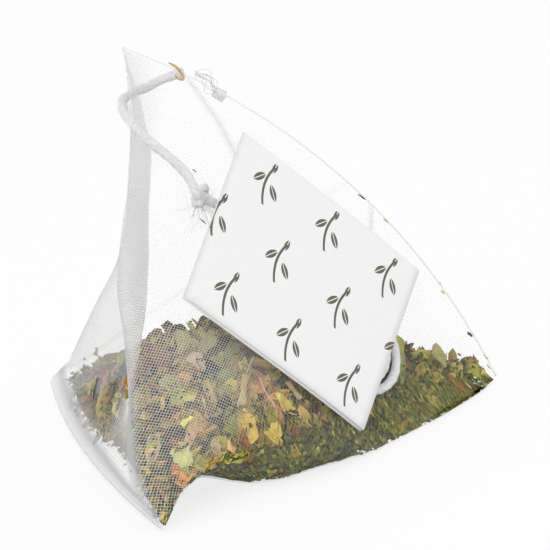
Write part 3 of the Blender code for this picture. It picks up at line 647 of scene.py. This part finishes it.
# how dense the threads look, in hundredths, partly from the film's layers over one another and partly
# as painted glare: each row goes round the film, and the rows go down it; the creases are soft
# lines on its flat map, drawn denser and greyed as painted shade
haze = dict(at=(0, 0.05, 0.09, 0.3, 0.6, 1.0, 1.5, 2.0, 3.0, 3.3, 3.6, 3.68, 4.0),
            down=(0, 0.45, 0.6, 0.75, 0.9, 1.0),
            shares=((20, 12, 9, 8, 7, 7, 14, 14, 15, 15, 15, 18, 18),
                    (30, 20, 14, 12, 10, 10, 10, 14, 15, 15, 15, 18, 18),
                    (50, 50, 42, 44, 40, 14, 10, 20, 15, 15, 15, 20, 30),
                    (60, 50, 40, 40, 34, 8, 10, 20, 20, 15, 15, 50, 50),
                    (60, 50, 38, 34, 25, 10, 14, 20, 30, 20, 20, 50, 50),
                    (50, 45, 40, 35, 30, 30, 40, 40, 60, 70, 70, 70, 60)),
            creases=(((0.25, 0.0), (0.34, 0.03), (0.44, 0.062), (0.5, 0.087), (0.6, 0.125)),
                     ((1.14, 0.0), (1.17, 0.03), (1.2, 0.06))))
sheer = dict(slot="sheer_film", nodes=("pouch",))


def creaseAt(q, v):
    # how near a place is to a crease, for the painted shade along it: 1 on it, fading to nothing over
    # half a millimetre
    near = np.zeros_like(q)
    flatSize = np.array((quarter, tubeLong)) / mm
    for line in haze["creases"]:
        ends = np.array(line) * flatSize
        for one, two in zip(ends[:-1], ends[1:]):
            x, y = q * flatSize[0] - one[0], v * flatSize[1] - one[1]
            go = two - one
            t = np.clip((x * go[0] + y * go[1]) / (go @ go), 0, 1)
            away = np.hypot(x - t * go[0], y - t * go[1])
            near = np.maximum(near, np.exp(-(away / 0.5) ** 2))
    return near


def hazeOf(q, v):
    # by place: how dense a thread looks, how dense the light it scatters as a painted sheen, and how
    # much painted shade greys both
    s = np.mod(sideOf(q, v), 4.0)
    rows = np.stack([np.interp(s, haze["at"], row) for row in np.array(haze["shares"]) / 100])
    x = np.interp(v, haze["down"], np.arange(len(rows)))
    j = np.minimum(np.floor(x).astype(int), len(rows) - 2)
    low, high = [np.take_along_axis(rows, j[None] + k, 0)[0] for k in (0, 1)]
    crease = creaseAt(np.mod(q, 4), v)
    dense = np.maximum(low + (high - low) * (x - j), crease * 0.6)
    place = onFilm(s, v)[0]
    above = climb(place[..., 2], heapTop(place), 0.8 * mm)
    inner = climb(s, 3.58, 0.1) * np.maximum(above, climb(s, 3.86, 0.05))
    outer = climb(s, 2.9, 0.1) * (s < 3.6) * above
    strip = (s < 1) * (1 - climb(s, 0, 0.08)) * climb(v, 0.3, 0.2)
    under = climb(v, 0.35, 0.25) * (s > 1.02) * (s < 2)
    hem = climb(v, 0.935, 0.025) * (1 - 0.5 * climb(v, 0.97, 0.02)) * (s > 2.6)
    # painted shade: how grey threads and veil are in the fold bands, along creases, on the left side
    # above the heap, underneath, at the hem and in the front strip
    paintedShade = [0.65 * inner, 0.7 * crease, 0.65 * outer, 0.7 * under, 0.85 * hem, 0.6 * strip]
    # painted sheen: how dense the whitish veil is at each place, with a faint one everywhere
    sheenAndShadeVeil = [(0.25 + 0.33 * climb(v, 0, 0.35)) * inner, 0.3 * crease, 0.36 * outer, 0.06 * under,
            0.66 * hem, 0.4 * strip, np.full_like(s, 0.02)]
    return dense, np.max(sheenAndShadeVeil, 0), np.max(paintedShade, 0)


def spread(dense, paintedShade, times):
    # red: density, green: painted shade, the same for each of a thread's points
    made = np.stack([dense, paintedShade, 0 * paintedShade, 0 * paintedShade + 1], -1).reshape(-1, 4)
    return np.repeat(made, times, axis=0)


# painted light: threads and veil glow faintly white, standing in for light passing through the film
filmLook = Look("wovenFilm", Roughness=0.4, Emission_Color=colour(1, 1, 1), Emission_Strength=0.14)
filmSays = filmLook.painted()
filmLook.feed("Alpha", filmLook.channel(filmSays, 0))
filmPaintedShade = filmLook.channel(filmSays, 1)
# painted shade: the white of threads and veil turns to dark grey as the green channel rises
filmLook.paint(colour(0.98, 0.98, 0.985), colour(0.22, 0.22, 0.23), filmPaintedShade)


def threads(name, q, v, lift, closed):
    # the threads that run one way, three points across each, with the density and painted shade of
    # their place
    made = ribbons(*fromFlat(q, v, lift), weave["wide"], weave["crown"], closed)
    dense, _, paintedShade = hazeOf(q, v)
    piece(name, *made, filmLook, **sheer, tint=spread(dense, paintedShade, 3))


warpCount = int(round(4 * quarter / weave["pitch"]))
lapAt = 3.0 + (np.arange(weave["lapThreads"]) - 2.5) * weave["lapPitch"] / quarter
warpAt = np.concatenate([(np.arange(warpCount) + 0.5) * 4 / warpCount, lapAt])
warpQ, warpV = np.meshgrid(warpAt, np.linspace(0.0, 1.0, weave["warpSteps"]), indexing="ij")
threads("filmLongThreads", warpQ, warpV, -weave["lift"], False)
weftCount = int(round(tubeLong / weave["pitch"]))
weftAt = np.arange(weave["weftSteps"]) * 4 / weave["weftSteps"]
weftV, weftQ = np.meshgrid((np.arange(weftCount) + 0.5) / weftCount, weftAt, indexing="ij")
threads("filmCrossThreads", weftQ, weftV, weave["lift"], True)

# Veil: painted sheen, the light that the finest fibres scatter, as one thin skin under the threads;
# where it is greyed it carries painted shade.
veilV, veilQ = np.meshgrid(np.linspace(0.004, 0.996, 120), np.arange(200) / 50, indexing="ij")
_, sheenAndShadeVeil, paintedShade = hazeOf(veilQ, veilV)
veilPoints = offFloor(fromFlat(veilQ, veilV, 0.03 * mm)[0])
veilFaces = gridQuads(*veilV.shape, closed=True)
piece("filmSheenAndShadeVeil", veilPoints, veilFaces, filmLook, **sheer, tint=spread(sheenAndShadeVeil, paintedShade, 1))

# Welds: both layers fused into a narrow lip along each seam.
weld = dict(wide=0.2 * mm, thick=0.12 * mm, out=0.1 * mm, sides=8, steps=120)
top, right, front, back, foot = tips()
weldLook = Look("fusedFilm", Roughness=0.3, Base_Color=colour(0.93, 0.935, 0.94), Alpha=0.55)
weldLook.bump(weldLook.noise(3500.0), 0.06 * mm)


def seamLine(v, first, last):
    # halfway between the film's two layers, from one end of the seam to the other
    u = np.linspace(0, 1, weld["steps"]) * 0.9999
    return (onFilm(first + u, v)[0] + onFilm(last - u, v)[0]) / 2


def lipAlong(line, outWay, overWay):
    # a flat oval carried along the seam, half of it past the weave
    angle = 2 * math.pi * np.arange(weld["sides"]) / weld["sides"]
    oval = (np.cos(angle)[:, None] * outWay * weld["wide"] / 2
            + np.sin(angle)[:, None] * overWay * weld["thick"] / 2)
    points = offFloor((line + outWay * weld["out"])[:, None] + oval[None])
    return points.reshape(-1, 3), [turned(group) for group in tubeFaces(len(line), weld["sides"])]


topLine = seamLine(0.0, 0, 3)
rise = unit((top + right) / 2 - foot)
plate = unit(np.cross(rise, right - top))
piece("topWeld", *lipAlong(topLine, rise, plate), weldLook, **sheer)
piece("footWeld", *lipAlong(seamLine(1.0, 1, 4), -heading(bag["heading"]), upWay), weldLook, **sheer)
print("film woven")

# Leaf: pieces laid inside the film, coarse cut to the left, fine and green to the right.


def stretch(q, v):
    # how much longer the film runs round and down at a place than on its flat map
    girth = lengths(fromFlat(q + 0.02, v)[0] - fromFlat(q - 0.02, v)[0])[..., 0]
    down = lengths(fromFlat(q, v + 0.01)[0] - fromFlat(q, v - 0.01)[0])[..., 0]
    return np.clip(girth / (0.04 * quarter), 0.5, 6), np.clip(down / (0.02 * tubeLong), 0.5, 6)


def inHeap(count):
    # places on the film, evenly over it: more are tried where it is stretched
    q, v = dice.uniform(0, 4, count * 3), dice.uniform(0.015, 0.985, count * 3)
    wide, tall = stretch(q, v)
    stay = dice.uniform(0, 1, len(q)) * 3 < wide * tall
    q, v = q[stay], v[stay]
    full = v < edgeOf(q) + 0.006 * dice.normal(size=len(q))
    s = sideOf(q, v)
    place = onFilm(s, v, np.minimum(filmRoom(s, v) * 0.3, 2 * mm))[0]
    near = place[:, 2] < heapTop(place) + heap["lid"]
    return q[full & near], v[full & near]


def chipShape(count, long, wide, rowsOf=5, colsOf=3):
    # each chip is a small bent sheet: width swells and narrows along it, edges are torn
    p = np.linspace(0, 1, rowsOf)[None, :, None]
    r = np.linspace(-1, 1, colsOf)[None, None, :]
    blunt = dice.uniform(0.15, 0.6, (count, 1, 1))
    body = np.sin(math.pi * np.clip(blunt * 0.3 + (1 - blunt * 0.45) * p, 0.02, 0.98)) ** 0.6
    torn = 1 + 0.35 * dice.uniform(-1, 1, (count, rowsOf, colsOf)) * abs(r)
    x = (p - 0.5 + 0.05 * dice.normal(size=(count, rowsOf, colsOf))) * long[:, None, None]
    y = r * body * torn * wide[:, None, None] / 2
    curl, bend = dice.normal(size=(count, 1, 1)) * 0.3, dice.normal(size=(count, 1, 1)) * 0.4
    z = curl * r ** 2 * wide[:, None, None] + bend * (p - 0.5) ** 2 * long[:, None, None]
    lean, roll = dice.normal(size=(2, count, 1, 1)) * heap["tilt"]
    z = z + x * np.sin(lean) + y * np.sin(roll)
    x, y = x * np.cos(lean), y * np.cos(roll)
    grid = np.arange(count * rowsOf * colsOf).reshape(count, rowsOf, colsOf)
    quads = np.stack([grid[:, :-1, :-1], grid[:, :-1, 1:], grid[:, 1:, 1:], grid[:, 1:, :-1]], -1)
    return x, y, z, quads.reshape(-1, 4)


def laid(q, v, x, y, z, depth):
    # shapes laid on the film's flat map, each turned at random, then sunk below it; what
    # would stand above the heap lies flat on its top instead
    turn = dice.uniform(0, 2 * math.pi, (len(q),) + (1,) * (x.ndim - 1))
    wider = (slice(None),) + (None,) * (x.ndim - 1)
    wide, tall = stretch(q, v)
    x, y = x * np.cos(turn) - y * np.sin(turn), x * np.sin(turn) + y * np.cos(turn)
    qq = q[wider] + x / (quarter * wide[wider])
    vv = np.clip(v[wider] + y / (tubeLong * tall[wider]), 0.02, 0.998)
    deep = np.clip(depth[wider] + z, 0.16 * mm, None)
    ss = sideOf(qq, vv)
    under = onFilm(ss, vv, np.minimum(deep, filmRoom(ss, vv) * 0.75))[0]
    s = sideOf(q, v)
    room = filmRoom(s, v)
    middle = onFilm(s, v, np.minimum(depth, room))[0]
    high = heapTop(middle) + 0.3 * mm * dice.normal(size=len(q))
    inner = onFilm(s, v, np.minimum(depth + 1.2 * mm, room))[0]
    base = np.stack([inner[:, 0], inner[:, 1], high - 0.4 * mm - depth * 0.5], -1)
    onTop = base[wider + (slice(None),)] + np.stack([x, y, z], -1) * 0.8
    over = (middle[:, 2] > high)[wider + (None,)]
    return offFloor(np.where(over, onTop, under), 0.08 * mm)


def tints(count, kind):
    # one colour of the kind's shades for each piece, a little lighter or darker
    odds = np.array(kind["weights"]) / sum(kind["weights"])
    shades = np.array(kind["shades"])[dice.choice(len(odds), count, p=odds)]
    shades = shades * dice.uniform(0.65, 1.3, (count, 1)) * dice.uniform(0.92, 1.08, (count, 3))
    rgba = np.concatenate([shades, np.ones((count, 1))], 1)
    return np.repeat(rgba, kind["points"], axis=0)


chips = dict(tried=13000, long=(1.2, 3.7), wide=(0.3, 0.75), sunk=(0.55, 2.2), points=15,
             shades=((0.55, 0.43, 0.07), (0.4, 0.37, 0.04), (0.68, 0.45, 0.12), (0.33, 0.14, 0.02),
                     (0.7, 0.64, 0.1), (0.07, 0.045, 0.012), (0.64, 0.27, 0.03),
                     (0.62, 0.38, 0.15), (0.5, 0.35, 0.08)),
             weights=(5, 4, 3, 3, 1.2, 2, 1.2, 1.2, 3))
grains = dict(tried=42000, reach=(0.12, 0.42), sunk=(0.18, 1.0), points=6,
              shades=((0.12, 0.15, 0.012), (0.24, 0.25, 0.02), (0.05, 0.065, 0.007),
                      (0.42, 0.37, 0.045), (0.27, 0.15, 0.02)),
              weights=(5, 3, 3, 1.2, 1))
filling = dict(slot="fine_leaf", nodes=("fine_filling",))
leafLook = Look("cutLeaf", Roughness=0.75, Specular_IOR_Level=0.12)
tintWire = leafLook.painted()
patches = leafLook.noise(2200.0, 4.0)
dark = leafLook.node("Mix", {"data_type": "RGBA", "blend_type": "MULTIPLY"},
                     {0: 1.0, 6: tintWire, 7: colour(0.6, 0.55, 0.45)}, 2)
leafLook.paint(tintWire, dark, (patches - 0.42) * 2.5)
leafLook.bump(leafLook.noise(5200.0, 3.0), 0.12 * mm)


def fineShare(q, v):
    # 0 where the leaf is coarse, 1 where it is fine: low down and to the right
    s = sideOf(q, v)
    place = onFilm(s, v, heap["depth"])[0] / mm
    made = 1 / (1 + np.exp(-(0.12 * place[:, 0] - 1 + 1.5 * (3.6 - place[:, 2])) / 1.2))
    return np.maximum(made, 1.12 * ((s > 1.04) & (s < 2)))


q, v = inHeap(chips["tried"])
stay = dice.uniform(0, 1, len(q)) > 0.85 * fineShare(q, v)
q, v = q[stay], v[stay]
nearEdge = edgeOf(q) - v < 0.05
long = dice.uniform(*chips["long"], len(q)) * mm * np.where(nearEdge, 0.45, 1)
wide = long * dice.uniform(*chips["wide"], len(q))
x, y, z, chipFaces = chipShape(len(q), long, wide)
chipPoints = laid(q, v, x, y, z, dice.uniform(*chips["sunk"], len(q)) * mm)
piece("coarseLeaf", chipPoints, chipFaces, leafLook, **filling, tint=tints(len(q), chips),
      smooth=False)
print("coarse leaf", len(q))

q, v = inHeap(grains["tried"])
stay = dice.uniform(0, 1, len(q)) < 0.15 + 0.85 * fineShare(q, v)
q, v = q[stay], v[stay]
# a grain is an uneven lump of six corners
ways = np.array([(1, 0, 0), (-1, 0, 0), (0, 1, 0), (0, -1, 0), (0, 0, 1), (0, 0, -1)], float)
reach = dice.uniform(*grains["reach"], (len(q), 6, 1)) * mm
corners = ways[None] * reach + dice.normal(size=(len(q), 6, 3)) * 0.06 * mm
foldAt = (sideOf(q, v) > 1) & (sideOf(q, v) < 1.4)
sunk = dice.uniform(*grains["sunk"], len(q)) * np.where(foldAt, 0.4, 1) * mm
lumps = laid(q, v, corners[..., 0], corners[..., 1], corners[..., 2] * 0.7, sunk)
octant = np.array([[0, 2, 4], [2, 1, 4], [1, 3, 4], [3, 0, 4],
                   [2, 0, 5], [1, 2, 5], [3, 1, 5], [0, 3, 5]])
grainFaces = (np.arange(len(q))[:, None, None] * 6 + octant[None]).reshape(-1, 3)
piece("fineLeaf", lumps, grainFaces, leafLook, **filling, tint=tints(len(q), grains), smooth=False)
print("fine leaf", len(q))

# Core: the inside of the heap, under the loose pieces: packed leaf, coloured far darker than the
# loose pieces as painted shade of the heap's depths.
core = dict(rows=60, cols=96, first=0.085, short=0.006, deep=1.3 * mm, deepAtFold=0.7 * mm,
            lid=0.7 * mm)
coreLook = Look("packedLeafPaintedShade", Roughness=0.9, Specular_IOR_Level=0.1)
cellAt = {"Vector": coreLook.place(), "Scale": 2400.0}
cells = coreLook.channel(coreLook.node("TexVoronoi", {}, cellAt, "Color"), 0)
# painted shade: near black to dark olive, in cells of differing tone
coreLook.paint(colour(0.04, 0.035, 0.008), colour(0.2, 0.18, 0.03), cells)
coreLook.bump(cells, 0.08 * mm)
coreAt = np.linspace(0, 1, core["rows"]), np.arange(core["cols"]) * 4 / core["cols"]
coreV, coreS = np.meshgrid(*coreAt, indexing="ij")
coreV = core["first"] + coreV * (edgeOf(girthOf(coreS, 0.92)) - core["short"] - core["first"])
coreDepth = np.where((coreS > 1) & (coreS < 1.5), core["deepAtFold"], core["deep"])
coreDepth = np.minimum(coreDepth, filmRoom(coreS, coreV) * 1.15)
corePoints = offFloor(onFilm(coreS, coreV, coreDepth)[0], 0.3 * mm)
lid = heapTop(corePoints) - core["lid"]
corePoints[..., 2] = np.minimum(corePoints[..., 2], np.maximum(lid, 0.6 * mm))
grid = np.arange(coreV.size).reshape(coreV.shape)
ends = np.stack([corePoints[0].mean(0), corePoints[-1].mean(0)])
capOne = np.stack([np.roll(grid[0], -1), grid[0], np.full(core["cols"], grid.size)], -1)
capTwo = np.stack([grid[-1], np.roll(grid[-1], -1), np.full(core["cols"], grid.size + 1)], -1)
piece("heapCore", np.concatenate([corePoints.reshape(-1, 3), ends]),
      [gridQuads(*grid.shape, closed=True), capOne, capTwo], coreLook, **filling)

# Larger leaves and stalks: name, with the shade in it, place round and down the film, turn in
# degrees, length and width in millimetres, how drawn out the tip is and how much it curls.
leafDepth = 0.32 * mm
leaves = (
    ("leaf_pale_round", 0.55, 0.833, 20, 3.2, 2.5, 0.1),
    ("leaf_tan_curled", 0.2, 0.83, 80, 3.8, 1.4, 0.4, 0.2),
    ("leaf_rust_low", 0.9, 0.63, 10, 2.6, 1.6),
    ("stalk_tan_long", 0.72, 0.646, 70, 3.6, 0.6, 0.0, 0.0),
    ("stalk_tan_short", 0.9, 0.57, 30, 2.0, 0.55, 0.0, 0.0),
    ("leaf_olive_long", 0.93, 0.25, 60, 4.0, 1.5, 0.5),
    ("leaf_khaki_right", 0.93, 0.12, 15, 3.2, 1.7, 0.2),
    ("leaf_red_right", 0.8, 0.2, 50, 2.2, 1.2),
    ("leaf_brown_right", 0.84, 0.32, 20, 2.6, 1.6),
    ("leaf_khaki_top_a", 0.3, 0.588, 75, 3.2, 1.7, 0.5),
    ("leaf_khaki_top_b", 0.42, 0.572, 95, 2.8, 1.6),
    ("leaf_brown_top_c", 0.19, 0.628, 60, 2.8, 1.5, 0.4),
    ("leaf_olive_top_d", 0.54, 0.568, 80, 2.8, 1.6, 0.4),
    ("leaf_tan_mid_e", 0.4, 0.625, 20, 2.8, 1.7),
    ("leaf_olive_mid_f", 0.58, 0.632, 120, 2.6, 1.7),
    ("leaf_khaki_mid_g", 0.28, 0.688, 30, 3.0, 1.8),
    ("leaf_brown_mid_h", 0.53, 0.71, 10, 2.8, 1.8, 0.2),
    ("leaf_olive_mid_i", 0.76, 0.715, 45, 2.6, 1.6),
    ("leaf_tan_low_j", 0.82, 0.79, 60, 2.4, 1.3),
    ("leaf_dark_low_k", 0.25, 0.748, 15, 2.4, 1.3),
    ("leaf_pale_left", 3.6, 0.844, 70, 2.6, 1.8, 0.2),
    ("leaf_orange_left", 3.45, 0.833, 20, 2.4, 1.4),
    ("leaf_brown_left", 3.3, 0.87, 130, 2.8, 1.6),
    ("leaf_khaki_left", 3.5, 0.771, 90, 2.8, 1.6),
    ("stalk_dark_left", 3.42, 0.87, 50, 3.0, 0.6, 0.0, 0.0),
    ("leaf_olive_back_a", 2.25, 0.3, 20, 3.4, 1.9),
    ("leaf_tan_back_b", 2.3, 0.45, 100, 3.2, 1.8),
    ("leaf_khaki_back_c", 2.24, 0.58, 40, 3.4, 2.0),
    ("leaf_brown_back_d", 2.3, 0.72, 80, 3.0, 1.7),
)
shades = dict(pale=(0.62, 0.64, 0.2), khaki=(0.4, 0.37, 0.13), olive=(0.27, 0.3, 0.07),
              tan=(0.58, 0.45, 0.26), brown=(0.26, 0.14, 0.06), orange=(0.55, 0.25, 0.07),
              dark=(0.06, 0.045, 0.03), red=(0.2, 0.06, 0.06))


def veinedLook(name, red, green, blue):
    # a pale midrib and slanting side veins on the leaf's own map, blotched by noise
    look = Look(name, Roughness=0.6, Specular_IOR_Level=0.2)
    u, v = look.sheet()
    aside = (v - 0.5).size()
    vein = aside.below(0.035) + (u * 7 - aside * 5).rest(1.0).below(0.12) * 0.5
    deepTone = colour(red * 0.6, green * 0.6, blue * 0.6)
    lightTone = colour(red * 1.25, green * 1.25, blue * 1.2)
    veinTone = colour(min(1, red * 1.5), min(1, green * 1.5), blue * 1.4)
    base = look.mix(deepTone, lightTone, look.noise(1500.0, 4.0))
    look.paint(base, veinTone, vein * 0.5)
    look.bump(look.noise(4200.0, 3.0) + vein * 0.4, 0.08 * mm)
    return look


veined = {name: veinedLook(name + "Leaf", *shade) for name, shade in shades.items()}
veined["rust"] = veined["orange"]


def wholeLeaf(name, s, v, turn, long, wide, tip=0.3, curl=0.1):
    # a sheet on the film's inside: width is a bulged curve of the length, with small teeth
    p, r = np.meshgrid(np.linspace(0, 1, 25), np.linspace(-0.5, 0.5, 9), indexing="ij")
    stalk = name.startswith("stalk")
    if stalk:
        body = 0.85 + 0.1 * np.sin(p * 9) + 0.25 * (p < 0.12)
    else:
        body = np.sin(math.pi * np.clip(0.1 + 0.88 * p ** (1 / (1 + tip)), 0, 0.985)) ** 0.7
        body = body * (1 + 0.07 * np.sin(p * 47 + s * 9) + 0.08 * np.sin(p * 19 + v * 31))
    x = (p - 0.5) * long * mm
    y = (r * body * wide + 0.12 * np.sin(p * 5 + s * 7) * wide) * mm
    cos, sin = math.cos(math.radians(turn)), math.sin(math.radians(turn))
    q = girthOf(s, v) + (x * cos - y * sin) / quarter
    down = np.clip(v + (x * sin + y * cos) / tubeLong, 0.01, 0.995)
    at = sideOf(q, down)
    ripple = 0.1 * np.sin(p * 8 + r * 5 + s * 11) + 0.06 * np.sin(p * 17 - r * 9)
    dip = curl * 4 * (0.25 - r ** 2) * 2 + ripple
    if stalk:
        dip = -0.18 * np.cos(r * math.pi) + ripple * 0.5
    points = onFilm(at, down, np.minimum(leafDepth + dip * mm, filmRoom(at, down)))[0]
    made = piece(name + ".whole", offFloor(points, 0.3 * mm), gridQuads(*p.shape),
                 veined[name.split("_")[1]], slots[name], (name,), uv=np.stack([p, r + 0.5], -1))
    thicken(made, (0.45 if stalk else 0.14) * mm)


slots = {part["node"]: part["material_slot"] for part in frame["record"]["subparts"]}
for leaf in leaves:
    wholeLeaf(*leaf)
print("larger leaves laid")

# Card: the tag's one sheet, folded over along its upper edge.
cardLook = Look("pressedCard", Roughness=0.55)
acrossCard, downCard = cardLook.sheet()
fibre = cardLook.noise(900.0, 4.0)
paper = cardLook.mix(colour(0.83, 0.835, 0.835), colour(0.87, 0.87, 0.87), fibre)
sprig = dict(step=9.2, row=7.6, stem=0.16, stemLong=2.6, rib=0.05, edge=(0.8, 21.6),
             leaves=((1.25, 0.5, 52, 1.3), (-1.05, -0.3, 128, 1.3), (0.45, -2.5, 98, 1.0)))
rowNumber = downCard / sprig["row"] - (downCard / sprig["row"]).rest(1.0)
shift = rowNumber.rest(2.0) * (sprig["step"] / 2)
cellX = (acrossCard + shift).rest(sprig["step"]) - sprig["step"] / 2
cellY = downCard.rest(sprig["row"]) - sprig["row"] / 2


def leafMark(middleX, middleY, turn, size):
    # a leaf is where two circles overlap; its rib is left bare
    cos, sin = math.cos(math.radians(turn)), math.sin(math.radians(turn))
    a = (cellX - middleX) * cos + (cellY - middleY) * sin
    b = (cellY - middleY) * cos - (cellX - middleX) * sin
    radius, apart = size * 1.15, size * 0.82
    one = (a * a + (b - apart) * (b - apart)).below(radius ** 2)
    two = (a * a + (b + apart) * (b + apart)).below(radius ** 2)
    return one * two * b.size().above(sprig["rib"])


stemCurve = cellX - cellY * cellY * 0.09 + 0.15
mark = stemCurve.size().below(sprig["stem"]) * cellY.size().below(sprig["stemLong"])
for leaf in sprig["leaves"]:
    mark = mark + leafMark(*leaf)
frontOnly = downCard.above(sprig["edge"][0]) * downCard.below(sprig["edge"][1])
ink = mark.above(0.5) * frontOnly
cardLook.paint(paper, colour(0.12, 0.11, 0.075), ink)
cardLook.bump(fibre, 0.02 * mm, 0.4)
# the card's section: its front sheet is 0 to 1, the round fold 1 to 2, its rear sheet 2 to 3
half = tag["gap"] / 2
profile = np.concatenate([np.linspace(0, 1, 21), np.linspace(1, 2, 9)[1:], np.linspace(2, 3, 21)[1:]])
inFront, behind = profile < 1, profile > 2
flatWide = tag["wide"] - half - tag["paper"] / 2
foldPlace = -tag["wide"] / 2 + half + tag["paper"] / 2
turn = math.pi * np.clip(profile - 1, 0, 1)
across = np.where(inFront, tag["wide"] / 2 - profile * flatWide, foldPlace - half * np.sin(turn))
across = np.where(behind, foldPlace + (profile - 2) * flatWide, across)
lift = np.where(inFront, half, np.where(behind, -half, half * np.cos(turn)))
apart = np.where(inFront, 1 - profile, np.where(behind, profile - 2, 0)) ** 2
lift = lift + np.where(inFront, 1, -1) * apart * 0.12 * mm
down = np.where(profile <= 1, (1 - profile) * flatWide, -(profile - 1) * flatWide) / mm
u, k = np.meshgrid(np.linspace(-0.5, 0.5, 28), np.arange(len(profile)), indexing="ij")
bowed = -tag["bow"] * (4 * u ** 2) + 0.25 * tag["bow"] * np.sin(u * 7)
slant = tag["askew"] * np.clip(across[k] / tag["wide"] + 0.5, 0, 1) * np.clip(0.5 - u, 0, 1)
points = (tagMiddle + tagLong * (u * tag["long"] + slant)[..., None] + tagWide * across[k][..., None]
          + tagOff * (lift[k] + bowed + tag["bow"] * 0.4)[..., None])
card = piece("foldedCard", points, turned(gridQuads(*u.shape)), cardLook, "card", ("tag",),
             uv=np.stack([(u + 0.5) * tag["long"] / mm, down[k]], -1))
thicken(card, tag["paper"])
print("tag folded")

# Crumbs and one amber stalk caught in the welds: places are shares of the upper seam, and
# the stalk's are followed by how far it stands out and how far to the front, in millimetres.
caught = dict(crumbs=(0.535, 0.55, 0.61, 0.78, 0.8, 0.895, 0.96, 0.975),
              loose=((0.175, 0.235), (0.2, 0.3)), stalkRadius=0.17 * mm,
              stalk=((0.087, 0.25, 0), (0.105, 0.15, 0), (0.119, -0.3, 0), (0.124, -0.75, -0.2),
                     (0.119, -0.95, 0), (0.113, -0.75, 0)))
amber = Look("amberStalk", Roughness=0.45)
amber.paint(colour(0.42, 0.2, 0.03), colour(0.72, 0.5, 0.22), amber.noise(2500.0))


def seamPoints(shares):
    # places just past the weave, at shares of the upper seam's length
    spots = np.round(np.asarray(shares) * (weld["steps"] - 1)).astype(int)
    return topLine[spots] + rise * 0.25 * mm


hook = np.array(caught["stalk"])
hookFrom = seamPoints(hook[:, 0]) + (hook[:, 1:2] * rise + hook[:, 2:] * plate) * mm
hookRoute = smoothRoute(hookFrom, 0.1 * mm)[None]
hookTaper = np.interp(np.linspace(0, 1, hookRoute.shape[1]), (0, 0.15, 0.6, 1), (0.35, 0.8, 1, 0.7))
hookParts = tubes(hookRoute, plate, caught["stalkRadius"], sides=8, taper=hookTaper)
piece("amberStalk", *hookParts, amber, slots["stalk_tan_long"])
crumbPlace = seamPoints(caught["crumbs"])
crumbPlace = crumbPlace - rise * dice.uniform(0.1, 0.5, (len(crumbPlace), 1)) * mm
crumbPlace = np.concatenate([crumbPlace, onFilm(*np.array(caught["loose"]), 0.3 * mm)[0]])
count = len(crumbPlace)
x, y, z, crumbFaces = chipShape(count, dice.uniform(0.5, 1.0, count) * mm,
                                dice.uniform(0.15, 0.35, count) * mm)
crumbPoints = (crumbPlace[:, None, None] + x[..., None] * unit(right - top) + y[..., None] * rise
               + z[..., None] * plate)
piece("seamCrumbs", crumbPoints, crumbFaces, leafLook, "fine_leaf", tint=tints(count, chips),
      smooth=False)

# Thin pale sticks that lie against the film: each runs straight on its flat map.
stickLook = Look("paleStick", Roughness=0.5, Base_Color=colour(0.66, 0.57, 0.38))
sticks = (((1.13, 0.555), (1.155, 0.69), 0.075 * mm), ((1.2, 0.6), (1.3, 0.645), 0.07 * mm))
stickParts = []
t = np.linspace(0, 1, 24)
for one, two, radius in sticks:
    q, v = one[0] + (two[0] - one[0]) * t, one[1] + (two[1] - one[1]) * t + 0.004 * np.sin(t * 5)
    path, out = fromFlat(q, v, 0.16 * mm)
    stickParts.append(tubes(path[None], out[None], radius, sides=6))
piece("paleSticks", *joined(stickParts), stickLook, slots["stalk_tan_long"])

# Floor and light: what the camera sees of both is plain white, at no cost to the object's light.
light = dict(floor=3.0, below=0.2 * mm, shown=0.8, sky=0.96, key=0.4, keySize=0.35,
             keyAt=(-0.1, -0.42, 0.36))
floorLook = Look("paleFloor", Roughness=0.9, Base_Color=colour(0.94, 0.94, 0.94))
glow = floorLook.node("Emission", {}, {"Color": colour(1, 1, 1), "Strength": 1.0})
seen = floorLook.node("LightPath", {}, {}, "Is Camera Ray")
plain = Wire(floorLook, floorLook.shader.outputs[0])
mixer = floorLook.node("MixShader", {}, {0: seen * light["shown"], 1: plain, 2: glow})
floorLook.tree.links.new(mixer.socket, floorLook.tree.nodes["Material Output"].inputs[0])
corners = [(x * light["floor"], y * light["floor"], -light["below"])
           for x, y in ((-1, -1), (1, -1), (1, 1), (-1, 1))]
floorMesh = bpy.data.meshes.new("floor")
floorMesh.from_pydata(corners, [], [(0, 1, 2, 3)])
floorMesh.materials.append(floorLook.owner)
floor = bpy.data.objects.new("floor", floorMesh)
bpy.context.scene.collection.objects.link(floor)

sky = Look("paleStudio", "worlds", "Background", Color=colour(1, 1, 1))
bpy.context.scene.world = sky.owner
toCamera = sky.node("LightPath", {}, {}, "Is Camera Ray")
through = sky.node("LightPath", {}, {}, "Is Transmission Ray")
sky.feed("Strength", toCamera.peak(through) * (1.0 - light["sky"]) + light["sky"])
key = bpy.data.lights.new("key", "AREA")
key.energy = light["key"]
key.size = light["keySize"]
lamp = bpy.data.objects.new("key", key)
keyBack = unit(np.array(light["keyAt"]))
keyRight = unit(np.cross(upWay, keyBack))
aim(lamp, keyRight, np.cross(keyBack, keyRight), keyBack, light["keyAt"])
bpy.context.scene.view_settings.view_transform = "Standard"

print("scene done")
